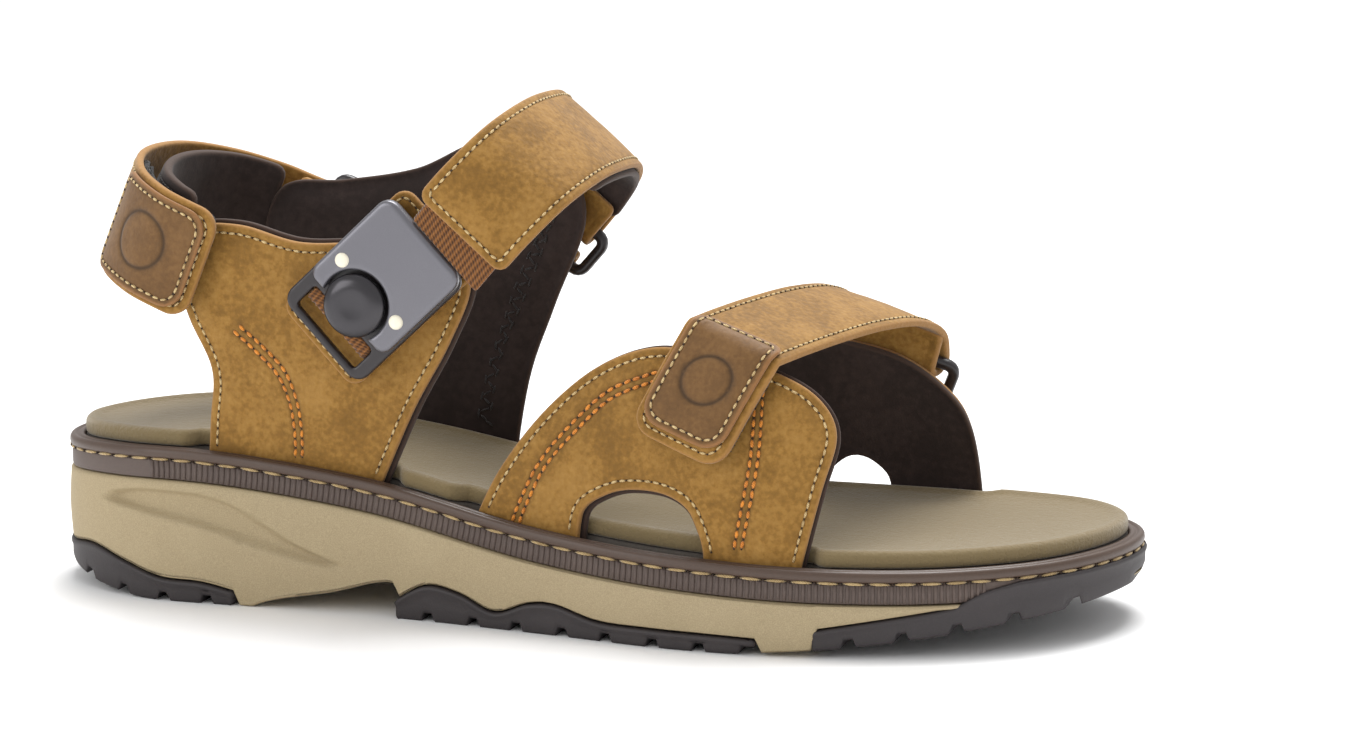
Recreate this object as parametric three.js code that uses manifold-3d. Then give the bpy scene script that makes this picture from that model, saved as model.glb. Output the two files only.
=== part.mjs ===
// Strappy sport sandal, right foot, millimetres. +X points to the toe, +Y to the medial
// (inner) side, +Z up. The origin is the middle of the bounding box's bottom face.
import * as THREE from 'three';
import { mergeVertices } from 'three/addons/utils/BufferGeometryUtils.js';
import Module from 'manifold-3d';

const wasm = await Module();
wasm.setup();

// ---------------------------------------------------------------- driving dimensions

const SOLE_LENGTH = 300;
const SOLE_WIDTH = 104.5;
const OUTLINE_STEPS = 60;
const HEIGHT_STEPS = 26;
const PANEL_STEP = 10;

const GAP = 0.3; // between pieces that touch
const RAND_HEIGHT = 5.2;
const WELT_HEIGHT = 3;
const WELT_WIDTH = 4.2;
const BOARD_THICKNESS = 2;
const COVER_RISE = 4.4; // footbed above the welt
const FOOTBED_SETBACK = 4.5;

const LEATHER = 2.2;
const LINING = 1.4;
const UPPER_SETBACK = 4.5; // outer face of the uppers, in from the sole's edge
const MARGIN_ROOM = 6; // footbed left out before and behind each upper
const ANKLE_HALF = { lateral: 35, medial: 33 };
// Arch-shaped openings at the foot of the vamps.
const VAMP_NOTCH = {
  lateral: { middle: 28.7, half: 17.7, foot: 18, top: 39.8 },
  medial: { middle: 65, half: 11, foot: 18, top: 36.5 },
};
const NOTCH_STEPS = 14;
const PANEL_FOOT = -5; // where an upper's outline ends below, before the board trims it
const VAMP_LEAN = { lateral: 12, medial: 14 };
const LEAN_HEIGHT = 50;
const LEAN_POWER = 1.6;

const HEEL_STRAP_WIDTH = 31;
const INSTEP_STRAP_WIDTH = 30;
const FOREFOOT_STRAP_WIDTH = 27;
const HEEL_PITCH = 22; // degrees that the heel band leans forward
const INSTEP_PITCH = 41;
const FOREFOOT_PITCH = 21;
const FOREFOOT_YAW = 18;
const SLING_THICKNESS = 4;
const HOOK_TAPE = 1.6;
const LOOP_TAPE = 1.1;
const PATCH = 1.1;

const RING_BAR = 3.2;
const RING_OPENING = 9;
const RING_SIDE_CLEARANCE = 1.8;
const LOOP_CLEARANCE = 0.45; // between a ring's bar and the leather looped round it
const TAB_LEG = 15;
const STRAP_FOLD = 10;

const SHANK_WIDTH = 14;
const SHANK_THICKNESS = 1.2;

const BUCKLE_WIDTH = 31;
const BUCKLE_FRAME_LENGTH = 42;
const BUCKLE_FRAME_THICKNESS = 2.6;
const BUCKLE_WINDOW = 6.5;
const PLATE_WIDTH = 30;
const PLATE_LENGTH = 31;
const PLATE_THICKNESS = 3.6;
const BUTTON_RADIUS = 8.5;
const BUTTON_STEM = 5.1;
const BUTTON_ROOM = 1; // round the button, in the plate
const BUTTON_TRAVEL = 1.5;
const RIVET_RADIUS = 2;
const RIVET_PLACE = [6, 10.8]; // from the button's middle, along and across the buckle
const WEBBING_WIDTH = 25;
const WEBBING = 1.5;
const ANCHOR_TAB = 1.8;
const ANCHOR_MARGIN = 4; // leather round the buckle's frame, lengthwise
const ANCHOR_LEG = 8.5; // webbing behind the frame, from the bar's middle
const ANCHOR_WEBBING_WIDTH = 22.5;

const LUG_PITCH = 13;
const LUG_GROOVE = 3.2;
const LUG_DEPTH = 2.2;

// Places of the straps. W is the middle across a strap's width, END and PEAK are heights in its
// own plane, and a ring's place is x and z.
const TAB_CORNER = 6;
const FOREFOOT_W = 30;
const FOREFOOT_END = 65.5;
const FOREFOOT_WALL_END = 94; // where the strap leaves the vamp's wall
const FOREFOOT_PEAK = 99;
const FOREFOOT_RING = [73, 59.3];
const FOREFOOT_RING_SIDE = 43; // half-width of the vamp at the ring
const FOREFOOT_RING_EASE = 4.4; // the strap meets its ring askew, so the ring is wider
const HEEL_W = 50;
const HEEL_END = 122;
const HEEL_PEAK = 160;
const HEEL_RING = [-86, 88.7];
const HEEL_TAB_STEPS = 12; // steps of the path that belong to the tab
const SLING_START = 132.5;
const SLING_SLACK = 1.6;
const INSTEP_W = -83.5;
const INSTEP_END = 66;
const INSTEP_PEAK = 97;
const INSTEP_RING = [-23.7, 100];
const BUCKLE_SLOPE = 43; // degrees from level, along the buckle
const BUCKLE_MIDDLE = [-45.5, 88.5];
const PLATE_START = -9; // plate's lower edge from the buckle's middle
const BUTTON_PLACE = -5.5;

// ---------------------------------------------------------------- finishes

const FINISH = {
  nubuck: { color: 0xb98a45, roughness: 0.85, metalness: 0 },
  patch: { color: 0x8a6a3c, roughness: 0.85, metalness: 0 },
  lining: { color: 0x3a2a22, roughness: 0.9, metalness: 0 },
  rubber: { color: 0x2b2623, roughness: 0.8, metalness: 0 },
  midsole: { color: 0xb09a72, roughness: 0.8, metalness: 0 },
  welt: { color: 0x3b2a20, roughness: 0.55, metalness: 0 },
  rand: { color: 0x2e241e, roughness: 0.7, metalness: 0 },
  suede: { color: 0x7d7653, roughness: 0.95, metalness: 0 },
  foam: { color: 0x55504a, roughness: 0.95, metalness: 0 },
  board: { color: 0xa48a66, roughness: 0.9, metalness: 0 },
  steel: { color: 0xaaaaaa, roughness: 0.4, metalness: 1 },
  plastic: { color: 0x2c2a2b, roughness: 0.45, metalness: 0 },
  gunmetal: { color: 0x6c6d70, roughness: 0.3, metalness: 0.7 },
  rivet: { color: 0xd8d2c0, roughness: 0.4, metalness: 0 },
  webbing: { color: 0x4a3426, roughness: 0.9, metalness: 0 },
  tape: { color: 0x1b1a1a, roughness: 1, metalness: 0 },
};

const part = new THREE.Group();

/** Lines that pieces turn about or slide along, kept with the part. */
const axes = {};

/** Adds one named piece to the sandal. */
function addPiece(name, finish, geometry) {
  geometry.computeVertexNormals();
  const mesh = new THREE.Mesh(geometry, new THREE.MeshStandardMaterial(FINISH[finish]));
  mesh.name = name;
  part.add(mesh);
  return mesh;
}

// ---------------------------------------------------------------- solids

/** Turns a closed geometry into a solid that can be cut and joined. */
function toSolid(geometry) {
  const bare = new THREE.BufferGeometry();
  bare.setAttribute('position', geometry.getAttribute('position').clone());
  if (geometry.index) bare.setIndex(geometry.index.clone());
  const merged = mergeVertices(bare, 1e-4);
  return new wasm.Manifold(new wasm.Mesh({
    numProp: 3,
    vertProperties: new Float32Array(merged.getAttribute('position').array),
    triVerts: new Uint32Array(merged.index.array),
  }));
}

/** Turns a solid back into a geometry. */
function toGeometry(solid) {
  const mesh = solid.getMesh();
  const geometry = new THREE.BufferGeometry();
  geometry.setAttribute('position', new THREE.BufferAttribute(new Float32Array(mesh.vertProperties), 3));
  geometry.setIndex(new THREE.BufferAttribute(new Uint32Array(mesh.triVerts), 1));
  return geometry;
}

/** Upright prism over an outline in the XY plane. */
function prismZ(points, low, high) {
  const geometry = new THREE.ExtrudeGeometry(new THREE.Shape(points), {
    depth: high - low,
    bevelEnabled: false,
  });
  return toSolid(geometry.translate(0, 0, low));
}

/** Prism across the shoe over an outline in the XZ plane. */
function prismY(points, low, high) {
  const geometry = new THREE.ExtrudeGeometry(new THREE.Shape(points), {
    depth: high - low,
    bevelEnabled: false,
  });
  return toSolid(geometry.rotateX(Math.PI / 2).translate(0, high, 0));
}

/** Block between two corners. */
function block(low, high) {
  const size = new THREE.Vector3().subVectors(high, low);
  const middle = new THREE.Vector3().addVectors(high, low).multiplyScalar(0.5);
  return toSolid(new THREE.BoxGeometry(size.x, size.y, size.z).translate(middle.x, middle.y, middle.z));
}

// ---------------------------------------------------------------- sole outline and heights

/** Place along the shoe, given for a sole 300 long. */
const along = (x) => (x * SOLE_LENGTH) / 300;
/** Place across the shoe, given for a sole 104.5 wide. */
const across = (y) => (y * SOLE_WIDTH) / 104.5;

const OUTLINE = [
  [-150, 0], [-142, -21], [-118, -35.5], [-80, -38], [-40, -40], [0, -46], [40, -53], [75, -52.5],
  [108, -43], [134, -24], [148.5, 3], [149, 24], [136, 42], [105, 51.5], [65, 51.5], [30, 44],
  [-10, 36], [-50, 33.5], [-90, 35.5], [-122, 33], [-143, 18],
];

const outlineCurve = new THREE.CatmullRomCurve3(
  OUTLINE.map(([x, y]) => new THREE.Vector3(along(x), across(y), 0)), true, 'centripetal');
const outline = outlineCurve.getSpacedPoints(OUTLINE_STEPS).slice(0, -1)
  .map((p) => new THREE.Vector2(p.x, p.y));

/** The sole's outline drawn in by a distance. */
function insetOutline(distance) {
  return outline.map((p, i) => {
    const before = outline[(i + outline.length - 1) % outline.length];
    const after = outline[(i + 1) % outline.length];
    const t = new THREE.Vector2().subVectors(after, before).normalize();
    return new THREE.Vector2(p.x - t.y * distance, p.y + t.x * distance);
  });
}

/** Reads the height at x from points sorted by x. */
function interpolate(points, x) {
  if (x <= points[0].x) return points[0].y;
  for (let i = 1; i < points.length; i += 1) {
    const a = points[i - 1];
    const b = points[i];
    if (x <= b.x) return a.y + ((b.y - a.y) * (x - a.x)) / Math.max(b.x - a.x, 1e-9);
  }
  return points[points.length - 1].y;
}

/** A smooth height along the shoe through a few points. */
function heightCurve(pairs) {
  const curve = new THREE.SplineCurve(pairs.map(([x, z]) => new THREE.Vector2(along(x), z)));
  const samples = curve.getPoints(pairs.length * 8);
  return (x) => interpolate(samples, x);
}

const weltTop = heightCurve([
  [-160, 39.5], [-125, 41.8], [-95, 41.8], [-50, 37], [0, 27.6], [50, 23.7], [100, 22.6], [160, 23.2]]);
const tread = heightCurve([
  [-160, 12], [-148, 6.5], [-134, 2.6], [-118, 0.3], [-105, 0], [-60, 0], [-20, 0], [20, 0], [50, 0],
  [75, 1.7], [100, 4.6], [125, 8.2], [160, 13.5]]);
const ground = (x) => Math.max(0, tread(x));
const archCut = heightCurve([
  [-160, -9], [-92, -9], [-82, 0.5], [-60, 5.5], [-42, 9.5], [-32, 2], [-26, -9], [160, -9]]);
const weltBottom = (x) => weltTop(x) - WELT_HEIGHT;
const randBottom = (x) => weltBottom(x) - GAP - RAND_HEIGHT;
const midsoleTop = (x) => randBottom(x) - GAP;
const boardBottom = (x) => midsoleTop(x) + GAP;
const boardTop = (x) => boardBottom(x) + BOARD_THICKNESS;
const foamBottom = (x) => boardTop(x) + GAP;
const foamTop = (x) => weltTop(x) - 0.4;
const coverBottom = (x) => foamTop(x) + GAP;
const coverTop = (x) => weltTop(x) + COVER_RISE;
const bottom = (x) => Math.max(ground(x), archCut(x));

/** Outline in XZ between two heights that vary along the shoe. */
function heightBand(low, high, from = -SOLE_LENGTH / 2 - 5, to = SOLE_LENGTH / 2 + 5) {
  const lower = [];
  const upper = [];
  for (let i = 0; i <= HEIGHT_STEPS; i += 1) {
    const x = from + ((to - from) * i) / HEIGHT_STEPS;
    lower.push(new THREE.Vector2(x, low(x)));
    upper.unshift(new THREE.Vector2(x, high(x)));
  }
  return [...lower, ...upper];
}

/** A layer of the sole: the inset outline between two heights. */
function soleLayer(low, high, inset) {
  return prismZ(insetOutline(inset), -20, 90).intersect(prismY(heightBand(low, high), -90, 90));
}

/** A layer that is only a rim of the given width. */
function soleRim(low, high, width) {
  return soleLayer(low, high, 0).subtract(prismZ(insetOutline(width), -20, 90));
}

/** Half-width of the sole's outline at x on one side. */
function edgeAt(side, x) {
  const points = outline.filter((p) => (side === 'lateral' ? p.y < across(3) : p.y > across(-3)))
    .sort((a, b) => a.x - b.x);
  return Math.abs(interpolate(points, x));
}

// ---------------------------------------------------------------- walls of the uppers

const SIGN = { lateral: -1, medial: 1 };
const smooth = (t) => {
  const c = Math.min(Math.max(t, 0), 1);
  return c * c * (3 - 2 * c);
};

/** Half-width of a quarter's outer face: it rises to an upright ankle plane. */
function quarterHalf(side, x, z) {
  const base = edgeAt(side, x) - UPPER_SETBACK;
  const h = z - coverTop(x) - 1;
  return base + (across(ANKLE_HALF[side]) - base) * smooth(h / 34);
}

/** Half-width of a vamp's outer face: it curves in over the foot. */
function vampHalf(side, x, z) {
  const base = edgeAt(side, x) - UPPER_SETBACK;
  const h = Math.max(0, z - coverTop(x) + 2);
  return base - VAMP_LEAN[side] * (h / LEAN_HEIGHT) ** LEAN_POWER;
}

/** A bent panel: the wall between two depths, cut to an outline in XZ. */
function panel(side, half, shapePoints, depthOut, depthIn) {
  const xs = shapePoints.map((p) => p.x);
  const low = Math.min(...xs) - 2;
  const high = Math.max(...xs) + 2;
  const top = Math.max(...shapePoints.map((p) => p.y)) + 2;
  const steps = Math.ceil((high - low) / PANEL_STEP);
  const wall = new THREE.BoxGeometry(1, 1, 1, steps, 1, 9);
  const position = wall.getAttribute('position');
  for (let i = 0; i < position.count; i += 1) {
    const x = low + (position.getX(i) + 0.5) * (high - low);
    const floor = boardBottom(x) + 0.1;
    const z = floor + (position.getZ(i) + 0.5) * (top - floor);
    const face = half(side, x, z);
    const outer = SIGN[side] * (face - depthOut);
    const inner = SIGN[side] * (face - depthIn);
    const y = position.getY(i) < 0 ? Math.min(outer, inner) : Math.max(outer, inner);
    position.setXYZ(i, x, y, z);
  }
  return toSolid(wall).intersect(prismY(shapePoints, -90, 90));
}

/**
 * Smooth closed outline in XZ through points, with straight runs down into the sole and an arch
 * cut from its lower edge where notch names one.
 */
function panelOutline(pairs, rear, front, notch = null) {
  const points = new THREE.SplineCurve(pairs.map(([x, z]) => new THREE.Vector2(along(x), z)))
    .getPoints(pairs.length * 3);
  const lower = [new THREE.Vector2(along(rear), PANEL_FOOT)];
  if (notch) {
    for (let i = 0; i <= NOTCH_STEPS; i += 1) {
      const angle = Math.PI * (1 - i / NOTCH_STEPS);
      const x = along(notch.middle) + notch.half * Math.cos(angle);
      const rise = (notch.top - notch.foot) * Math.sin(angle) ** 0.8;
      lower.push(new THREE.Vector2(x, i % NOTCH_STEPS ? notch.foot + rise : PANEL_FOOT));
    }
  }
  return [...lower, new THREE.Vector2(along(front), PANEL_FOOT), ...points.reverse()];
}

const quarterShape = {
  lateral: panelOutline([
    [-97, 34], [-96, 50], [-95, 64], [-101, 78], [-104, 90], [-99, 102], [-86, 103.5], [-69, 99.5],
    [-50, 100], [-28, 99], [-21, 90], [-27, 74], [-37, 56], [-47, 34]], -97, -47),
  medial: panelOutline([
    [-98, 34], [-97, 50], [-96, 64], [-102, 78], [-104, 92], [-98, 106], [-80, 108], [-58, 112],
    [-36, 121], [-16, 114], [-10, 100], [-19, 76], [-26, 56], [-30, 30]], -98, -30),
};
const vampShape = {
  lateral: panelOutline([
    [-20, 26], [-12, 42], [0, 58], [14, 70], [30, 76], [48, 74.5], [64, 71], [75, 65], [80, 56],
    [77, 42], [72, 20]],
  -20, 72, VAMP_NOTCH.lateral),
  medial: panelOutline([
    [-10, 24], [-2, 42], [10, 56], [28, 66], [52, 70], [76, 66], [91, 56], [98, 44], [101, 20]],
  -10, 101, VAMP_NOTCH.medial),
};

/** Room that one upper's lasting margin takes in the footbed. */
function marginSlot(side, shapePoints) {
  const feet = shapePoints.filter((p) => p.y === PANEL_FOOT).map((p) => p.x);
  const low = Math.min(...feet);
  const high = Math.max(...feet);
  const widest = side === 'lateral' ? [-90, 0] : [0, 90];
  const depth = UPPER_SETBACK + LEATHER + LINING + 3 * GAP;
  return prismZ(insetOutline(-5), -20, 140).subtract(prismZ(insetOutline(depth), -20, 140))
    .intersect(block(
      new THREE.Vector3(low - MARGIN_ROOM, widest[0], -20),
      new THREE.Vector3(high + MARGIN_ROOM, widest[1], 140)));
}

// ---------------------------------------------------------------- the sole

/** Zone of an outsole pad in XZ: a wavy top edge between two ends. */
function padZone(pairs, grow) {
  const wave = new THREE.SplineCurve(pairs.map(([x, z]) => new THREE.Vector2(along(x), z))).getPoints(30);
  wave[0].x -= grow;
  wave[wave.length - 1].x += grow;
  const top = wave.map((p) => new THREE.Vector2(p.x, p.y + grow));
  return prismY([new THREE.Vector2(top[0].x, -9), new THREE.Vector2(top[top.length - 1].x, -9),
    ...top.reverse()], -90, 90);
}

const PAD_WAVES = {
  outsole_heel: [[-158, 12], [-146, 11], [-134, 12.5], [-122, 9.5], [-110, 6.2], [-98, 5.6], [-88, 3.6]],
  outsole_forefoot: [[-41, 5], [-32, 9.6], [-22, 8.2], [-12, 4.4], [-2, 7.6], [6, 8], [18, 5], [32, 4.6],
    [48, 4.4], [62, 4]],
  outsole_toe: [[76, 7], [92, 9.8], [108, 12.4], [122, 14.4], [140, 16], [158, 16.5]],
};

function buildSole() {
  const body = soleLayer(bottom, midsoleTop, 0);
  let grooves = null;
  for (let x = -150; x <= 150; x += LUG_PITCH) {
    const low = new THREE.Vector3(along(x), -90, -9);
    const high = new THREE.Vector3(along(x) + LUG_GROOVE, 90, ground(along(x)) + LUG_DEPTH);
    const groove = block(low, high);
    grooves = grooves ? grooves.add(groove) : groove;
  }
  let midsole = body;
  for (const [name, wave] of Object.entries(PAD_WAVES)) {
    addPiece(name, 'rubber', toGeometry(body.intersect(padZone(wave, 0)).subtract(grooves)));
    midsole = midsole.subtract(padZone(wave, GAP));
  }
  const shankBand = (grow) => prismY(heightBand(
    (x) => midsoleTop(x) - SHANK_THICKNESS - GAP - grow, (x) => midsoleTop(x) - GAP + grow,
    along(-75) - grow, along(20) + grow), -SHANK_WIDTH / 2 - grow, SHANK_WIDTH / 2 + grow);
  const shankPocket = prismY(heightBand(
    (x) => midsoleTop(x) - SHANK_THICKNESS - 2 * GAP, (x) => midsoleTop(x) + 2,
    along(-75) - GAP, along(20) + GAP), -SHANK_WIDTH / 2 - GAP, SHANK_WIDTH / 2 + GAP);
  addPiece('midsole', 'midsole', toGeometry(midsole.subtract(shankPocket)));
  addPiece('shank', 'steel', toGeometry(shankBand(0)));
  addPiece('ribbed_rand', 'rand', toGeometry(soleRim(randBottom, (x) => weltBottom(x) - GAP, WELT_WIDTH)));
  addPiece('welt', 'welt', toGeometry(soleRim(weltBottom, weltTop, WELT_WIDTH)));
  const slots = marginSlot('lateral', quarterShape.lateral).add(marginSlot('medial', quarterShape.medial))
    .add(marginSlot('lateral', vampShape.lateral)).add(marginSlot('medial', vampShape.medial));
  const layers = [
    ['insole_board', 'board', boardBottom, boardTop],
    ['footbed_foam', 'foam', foamBottom, foamTop],
    ['footbed_cover', 'suede', coverBottom, coverTop],
  ];
  for (const [name, finish, low, high] of layers) {
    addPiece(name, finish, toGeometry(soleLayer(low, high, FOOTBED_SETBACK).subtract(slots)));
  }
}

// ---------------------------------------------------------------- the uppers

function buildUppers() {
  for (const side of ['lateral', 'medial']) {
    const liningIn = LEATHER + GAP + LINING;
    addPiece(`${side}_quarter`, 'nubuck',
      toGeometry(panel(side, quarterHalf, quarterShape[side], 0, LEATHER)));
    addPiece(`${side}_quarter_lining`, 'lining',
      toGeometry(panel(side, quarterHalf, quarterShape[side], LEATHER + GAP, liningIn)));
    addPiece(`${side}_vamp`, 'nubuck',
      toGeometry(panel(side, vampHalf, vampShape[side], 0, LEATHER)));
    addPiece(`${side}_vamp_lining`, 'lining',
      toGeometry(panel(side, vampHalf, vampShape[side], LEATHER + GAP, liningIn)));
  }
}

// ---------------------------------------------------------------- straps

const rad = THREE.MathUtils.degToRad;

/** Directions of a strap: q across the foot, d up in the strap's plane, w along its width. */
function strapBasis(pitch, yaw) {
  const q = new THREE.Vector3(Math.sin(rad(yaw)), Math.cos(rad(yaw)), 0);
  const level = Math.cos(rad(pitch));
  const w = new THREE.Vector3(
    level * Math.cos(rad(yaw)), -level * Math.sin(rad(yaw)), -Math.sin(rad(pitch)));
  const d = new THREE.Vector3().crossVectors(w, q);
  const point = (uq, ud, uw) => new THREE.Vector3()
    .addScaledVector(q, uq).addScaledVector(d, ud).addScaledVector(w, uw);
  return { q, d, w, point };
}

/**
 * How far a place given for the usual sole moves along a direction when the sole's length or
 * width changes.
 */
const carry = (axis, x, y) => axis.x * (along(x) - x) + axis.y * (across(y) - y);

/** A height in a strap's own plane, carried along by the place that it marks. */
function carried(basis, w, d) {
  const place = basis.point(0, d, w);
  return d + carry(basis.d, place.x, place.y);
}

/** Place across the foot, in a strap's basis, where a wall's outer face lies. */
function wallAt(basis, side, half, d, w) {
  let q = SIGN[side] * half(side, 0, 60);
  for (let i = 0; i < 30; i += 1) {
    const p = basis.point(q, d, w);
    q += (SIGN[side] * half(side, p.x, p.z) - p.y) / basis.q.y;
  }
  return q;
}

/** Points moved sideways off a path; a positive distance is to the left of its direction. */
function offsetPath(points, distance) {
  return points.map((p, i) => {
    const before = points[Math.max(i - 1, 0)];
    const after = points[Math.min(i + 1, points.length - 1)];
    const t = new THREE.Vector2().subVectors(after, before).normalize();
    return new THREE.Vector2(p.x - t.y * distance, p.y + t.x * distance);
  });
}

const PLAIN = [-1, -0.34, 0.34, 1];
const ROUNDED = [-1, -0.93, -0.78, -0.5, 0.5, 0.78, 0.93, 1];

/** How far a round corner draws the end back at v, from -1 to 1 across the width. */
function cornerBack(v, width, radius) {
  const reach = Math.max(0, Math.abs(v) * (width / 2) - (width / 2 - radius));
  return radius - Math.sqrt(Math.max(0, radius * radius - reach * reach));
}

/**
 * A strip of leather, tape or webbing. pathAt(w, v) gives its middle line in the strap's plane
 * at each station v across its width, always with the same number of points.
 */
function strip(basis, middleW, width, stations, pathAt, thickness) {
  const rows = [];
  const steps = stations.length - 1;
  for (const v of stations) {
    const w = middleW + (v * width) / 2;
    const path = pathAt(w, v);
    const left = offsetPath(path, thickness / 2);
    const right = offsetPath(path, -thickness / 2);
    rows.push([...left, ...right.reverse()].map((p) => basis.point(p.x, p.y, w)));
  }
  const ring = rows[0].length;
  const half = ring / 2;
  const positions = rows.flat().flatMap((p) => [p.x, p.y, p.z]);
  const faces = [];
  for (let i = 0; i < steps; i += 1) {
    for (let j = 0; j < ring; j += 1) {
      const a = i * ring + j;
      const b = i * ring + ((j + 1) % ring);
      faces.push(a, b, b + ring, a, b + ring, a + ring);
    }
  }
  for (let j = 0; j < half - 1; j += 1) {
    const across0 = [j, j + 1, ring - 2 - j, ring - 1 - j];
    faces.push(across0[0], across0[2], across0[1], across0[0], across0[3], across0[2]);
    const end = steps * ring;
    faces.push(end + across0[0], end + across0[1], end + across0[2]);
    faces.push(end + across0[0], end + across0[2], end + across0[3]);
  }
  const geometry = new THREE.BufferGeometry();
  geometry.setAttribute('position', new THREE.Float32BufferAttribute(positions, 3));
  geometry.setIndex(faces);
  return outward(geometry);
}

/** Makes sure that a hand-built solid faces outwards. */
function outward(geometry) {
  const position = geometry.getAttribute('position');
  const index = geometry.index.array;
  let volume = 0;
  const [a, b, c] = [new THREE.Vector3(), new THREE.Vector3(), new THREE.Vector3()];
  for (let i = 0; i < index.length; i += 3) {
    a.fromBufferAttribute(position, index[i]);
    b.fromBufferAttribute(position, index[i + 1]);
    c.fromBufferAttribute(position, index[i + 2]);
    volume += a.dot(b.cross(c));
  }
  if (volume < 0) {
    for (let i = 0; i < index.length; i += 3) {
      [index[i + 1], index[i + 2]] = [index[i + 2], index[i + 1]];
    }
  }
  return geometry;
}

/** Arc in the strap's plane. */
function arc(q, d, radius, from, to, steps) {
  const points = [];
  for (let i = 0; i <= steps; i += 1) {
    const a = rad(from + ((to - from) * i) / steps);
    points.push(new THREE.Vector2(q + radius * Math.cos(a), d + radius * Math.sin(a)));
  }
  return points;
}

/** Radius of the middle line of leather looped round a ring's bar. */
const loopRadius = (thickness) => RING_BAR * 0.62 + LOOP_CLEARANCE + thickness / 2;

/** A flat ring of plastic bar, laid in its own basis. */
function ringGeometry(ring, opening) {
  const shape = roundedRect(opening + 2 * RING_BAR, RING_OPENING + 2 * RING_BAR, RING_BAR);
  shape.holes.push(roundedRect(opening, RING_OPENING, 1));
  const bevel = RING_BAR * 0.25;
  const geometry = new THREE.ExtrudeGeometry(shape, {
    depth: RING_BAR - 2 * bevel,
    bevelThickness: bevel,
    bevelSize: bevel,
    bevelOffset: -bevel,
    bevelSegments: 1,
    curveSegments: 3,
  });
  const outwards = new THREE.Vector3().crossVectors(ring.w, ring.d);
  const matrix = new THREE.Matrix4().makeBasis(ring.w, ring.d, outwards);
  matrix.setPosition(ring.point(0, 0, 0));
  return geometry.translate(0, 0, -RING_BAR / 2 + bevel).applyMatrix4(matrix);
}

/** Rectangle with round corners, centred. */
function roundedRect(width, height, radius) {
  const shape = new THREE.Shape();
  const x = width / 2;
  const y = height / 2;
  shape.moveTo(-x + radius, -y);
  shape.lineTo(x - radius, -y);
  shape.absarc(x - radius, -y + radius, radius, -Math.PI / 2, 0);
  shape.lineTo(x, y - radius);
  shape.absarc(x - radius, y - radius, radius, 0, Math.PI / 2);
  shape.lineTo(-x + radius, y);
  shape.absarc(-x + radius, y - radius, radius, Math.PI / 2, Math.PI);
  shape.lineTo(-x, -y + radius);
  shape.absarc(-x + radius, -y + radius, radius, Math.PI, Math.PI * 1.5);
  return shape;
}

const ringReach = RING_OPENING / 2 + RING_BAR / 2;

/**
 * Basis of a ring that lies on the medial wall at x and z: w along its bars, d from its lower to
 * its upper bar, q away from the foot.
 */
function placeRing(half, x, z, pitch) {
  const at = (dx, dz) => new THREE.Vector3(x + dx, half('medial', x + dx, z + dz), z + dz);
  const alongX = new THREE.Vector3().subVectors(at(5, 0), at(-5, 0)).normalize();
  const alongZ = new THREE.Vector3().subVectors(at(0, 5), at(0, -5)).normalize();
  const w = alongX.clone().multiplyScalar(Math.cos(rad(pitch)))
    .addScaledVector(alongZ, -Math.sin(rad(pitch))).normalize();
  const q = new THREE.Vector3().crossVectors(alongZ, alongX).normalize();
  const d = new THREE.Vector3().crossVectors(w, q);
  const stand = 2 * GAP + LEATHER / 2 + loopRadius(LEATHER);
  const origin = at(0, 0).addScaledVector(q, stand);
  const point = (uq, ud, uw) => origin.clone()
    .addScaledVector(q, uq).addScaledVector(d, ud).addScaledVector(w, uw);
  return { q, d, w, point };
}

/** The leather tab that holds a ring's lower bar to a medial wall. */
function ringTab(ring, half, width) {
  const radius = loopRadius(LEATHER);
  const pathAt = (atW) => {
    const leg = [-1, -0.7, -0.4, -0.25].map((f) => {
      const d = -ringReach + f * TAB_LEG;
      return new THREE.Vector2(wallAt(ring, 'medial', half, d, atW) + GAP + LEATHER / 2, d);
    });
    const swell = [GAP, GAP + 0.2, RING_BAR * 0.6875, RING_BAR * 1.125];
    const outer = leg.map((p, i) => new THREE.Vector2(p.x + LEATHER + swell[i], p.y)).reverse();
    return through([...leg, ...arc(0, -ringReach, radius, 180, 0, 6), ...outer], 24);
  };
  return strip(ring, 0, width, PLAIN, pathAt, LEATHER);
}

/**
 * The last stretch of a strap at w across its width: down outside a ring's upper bar, round it
 * and up inside, in the strap's own basis.
 */
function strapEnd(basis, ring, w) {
  const bar = ring.point(0, ringReach, 0);
  bar.addScaledVector(ring.w, (w - bar.dot(basis.w)) / ring.w.dot(basis.w));
  const tilt = THREE.MathUtils.radToDeg(Math.atan2(-ring.d.dot(basis.q), ring.d.dot(basis.d)));
  const loop = arc(bar.dot(basis.q), bar.dot(basis.d), loopRadius(LEATHER), tilt, tilt - 180, 7);
  const last = loop[loop.length - 1];
  const up = new THREE.Vector2(-Math.sin(rad(tilt)), Math.cos(rad(tilt)));
  const fold = [0.4, 1].map((f) => last.clone().addScaledVector(up, f * STRAP_FOLD));
  return [...loop, ...fold];
}

/** Arch over the foot between two places, by shares of its span and of its rise. */
function arch(start, end, peak, shares) {
  return shares.map(([across01, rise01]) => {
    const base = start.y + (end.y - start.y) * across01;
    return new THREE.Vector2(start.x + (end.x - start.x) * across01, base + (peak - base) * rise01);
  });
}

/** A spline through points, as a list of points. */
const through = (points, steps) => new THREE.SplineCurve(points).getPoints(steps);

/** Part of a path by index, moved inwards by a distance. */
const under = (path, from, to, distance) => offsetPath(path, -distance).slice(from, to);

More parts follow.
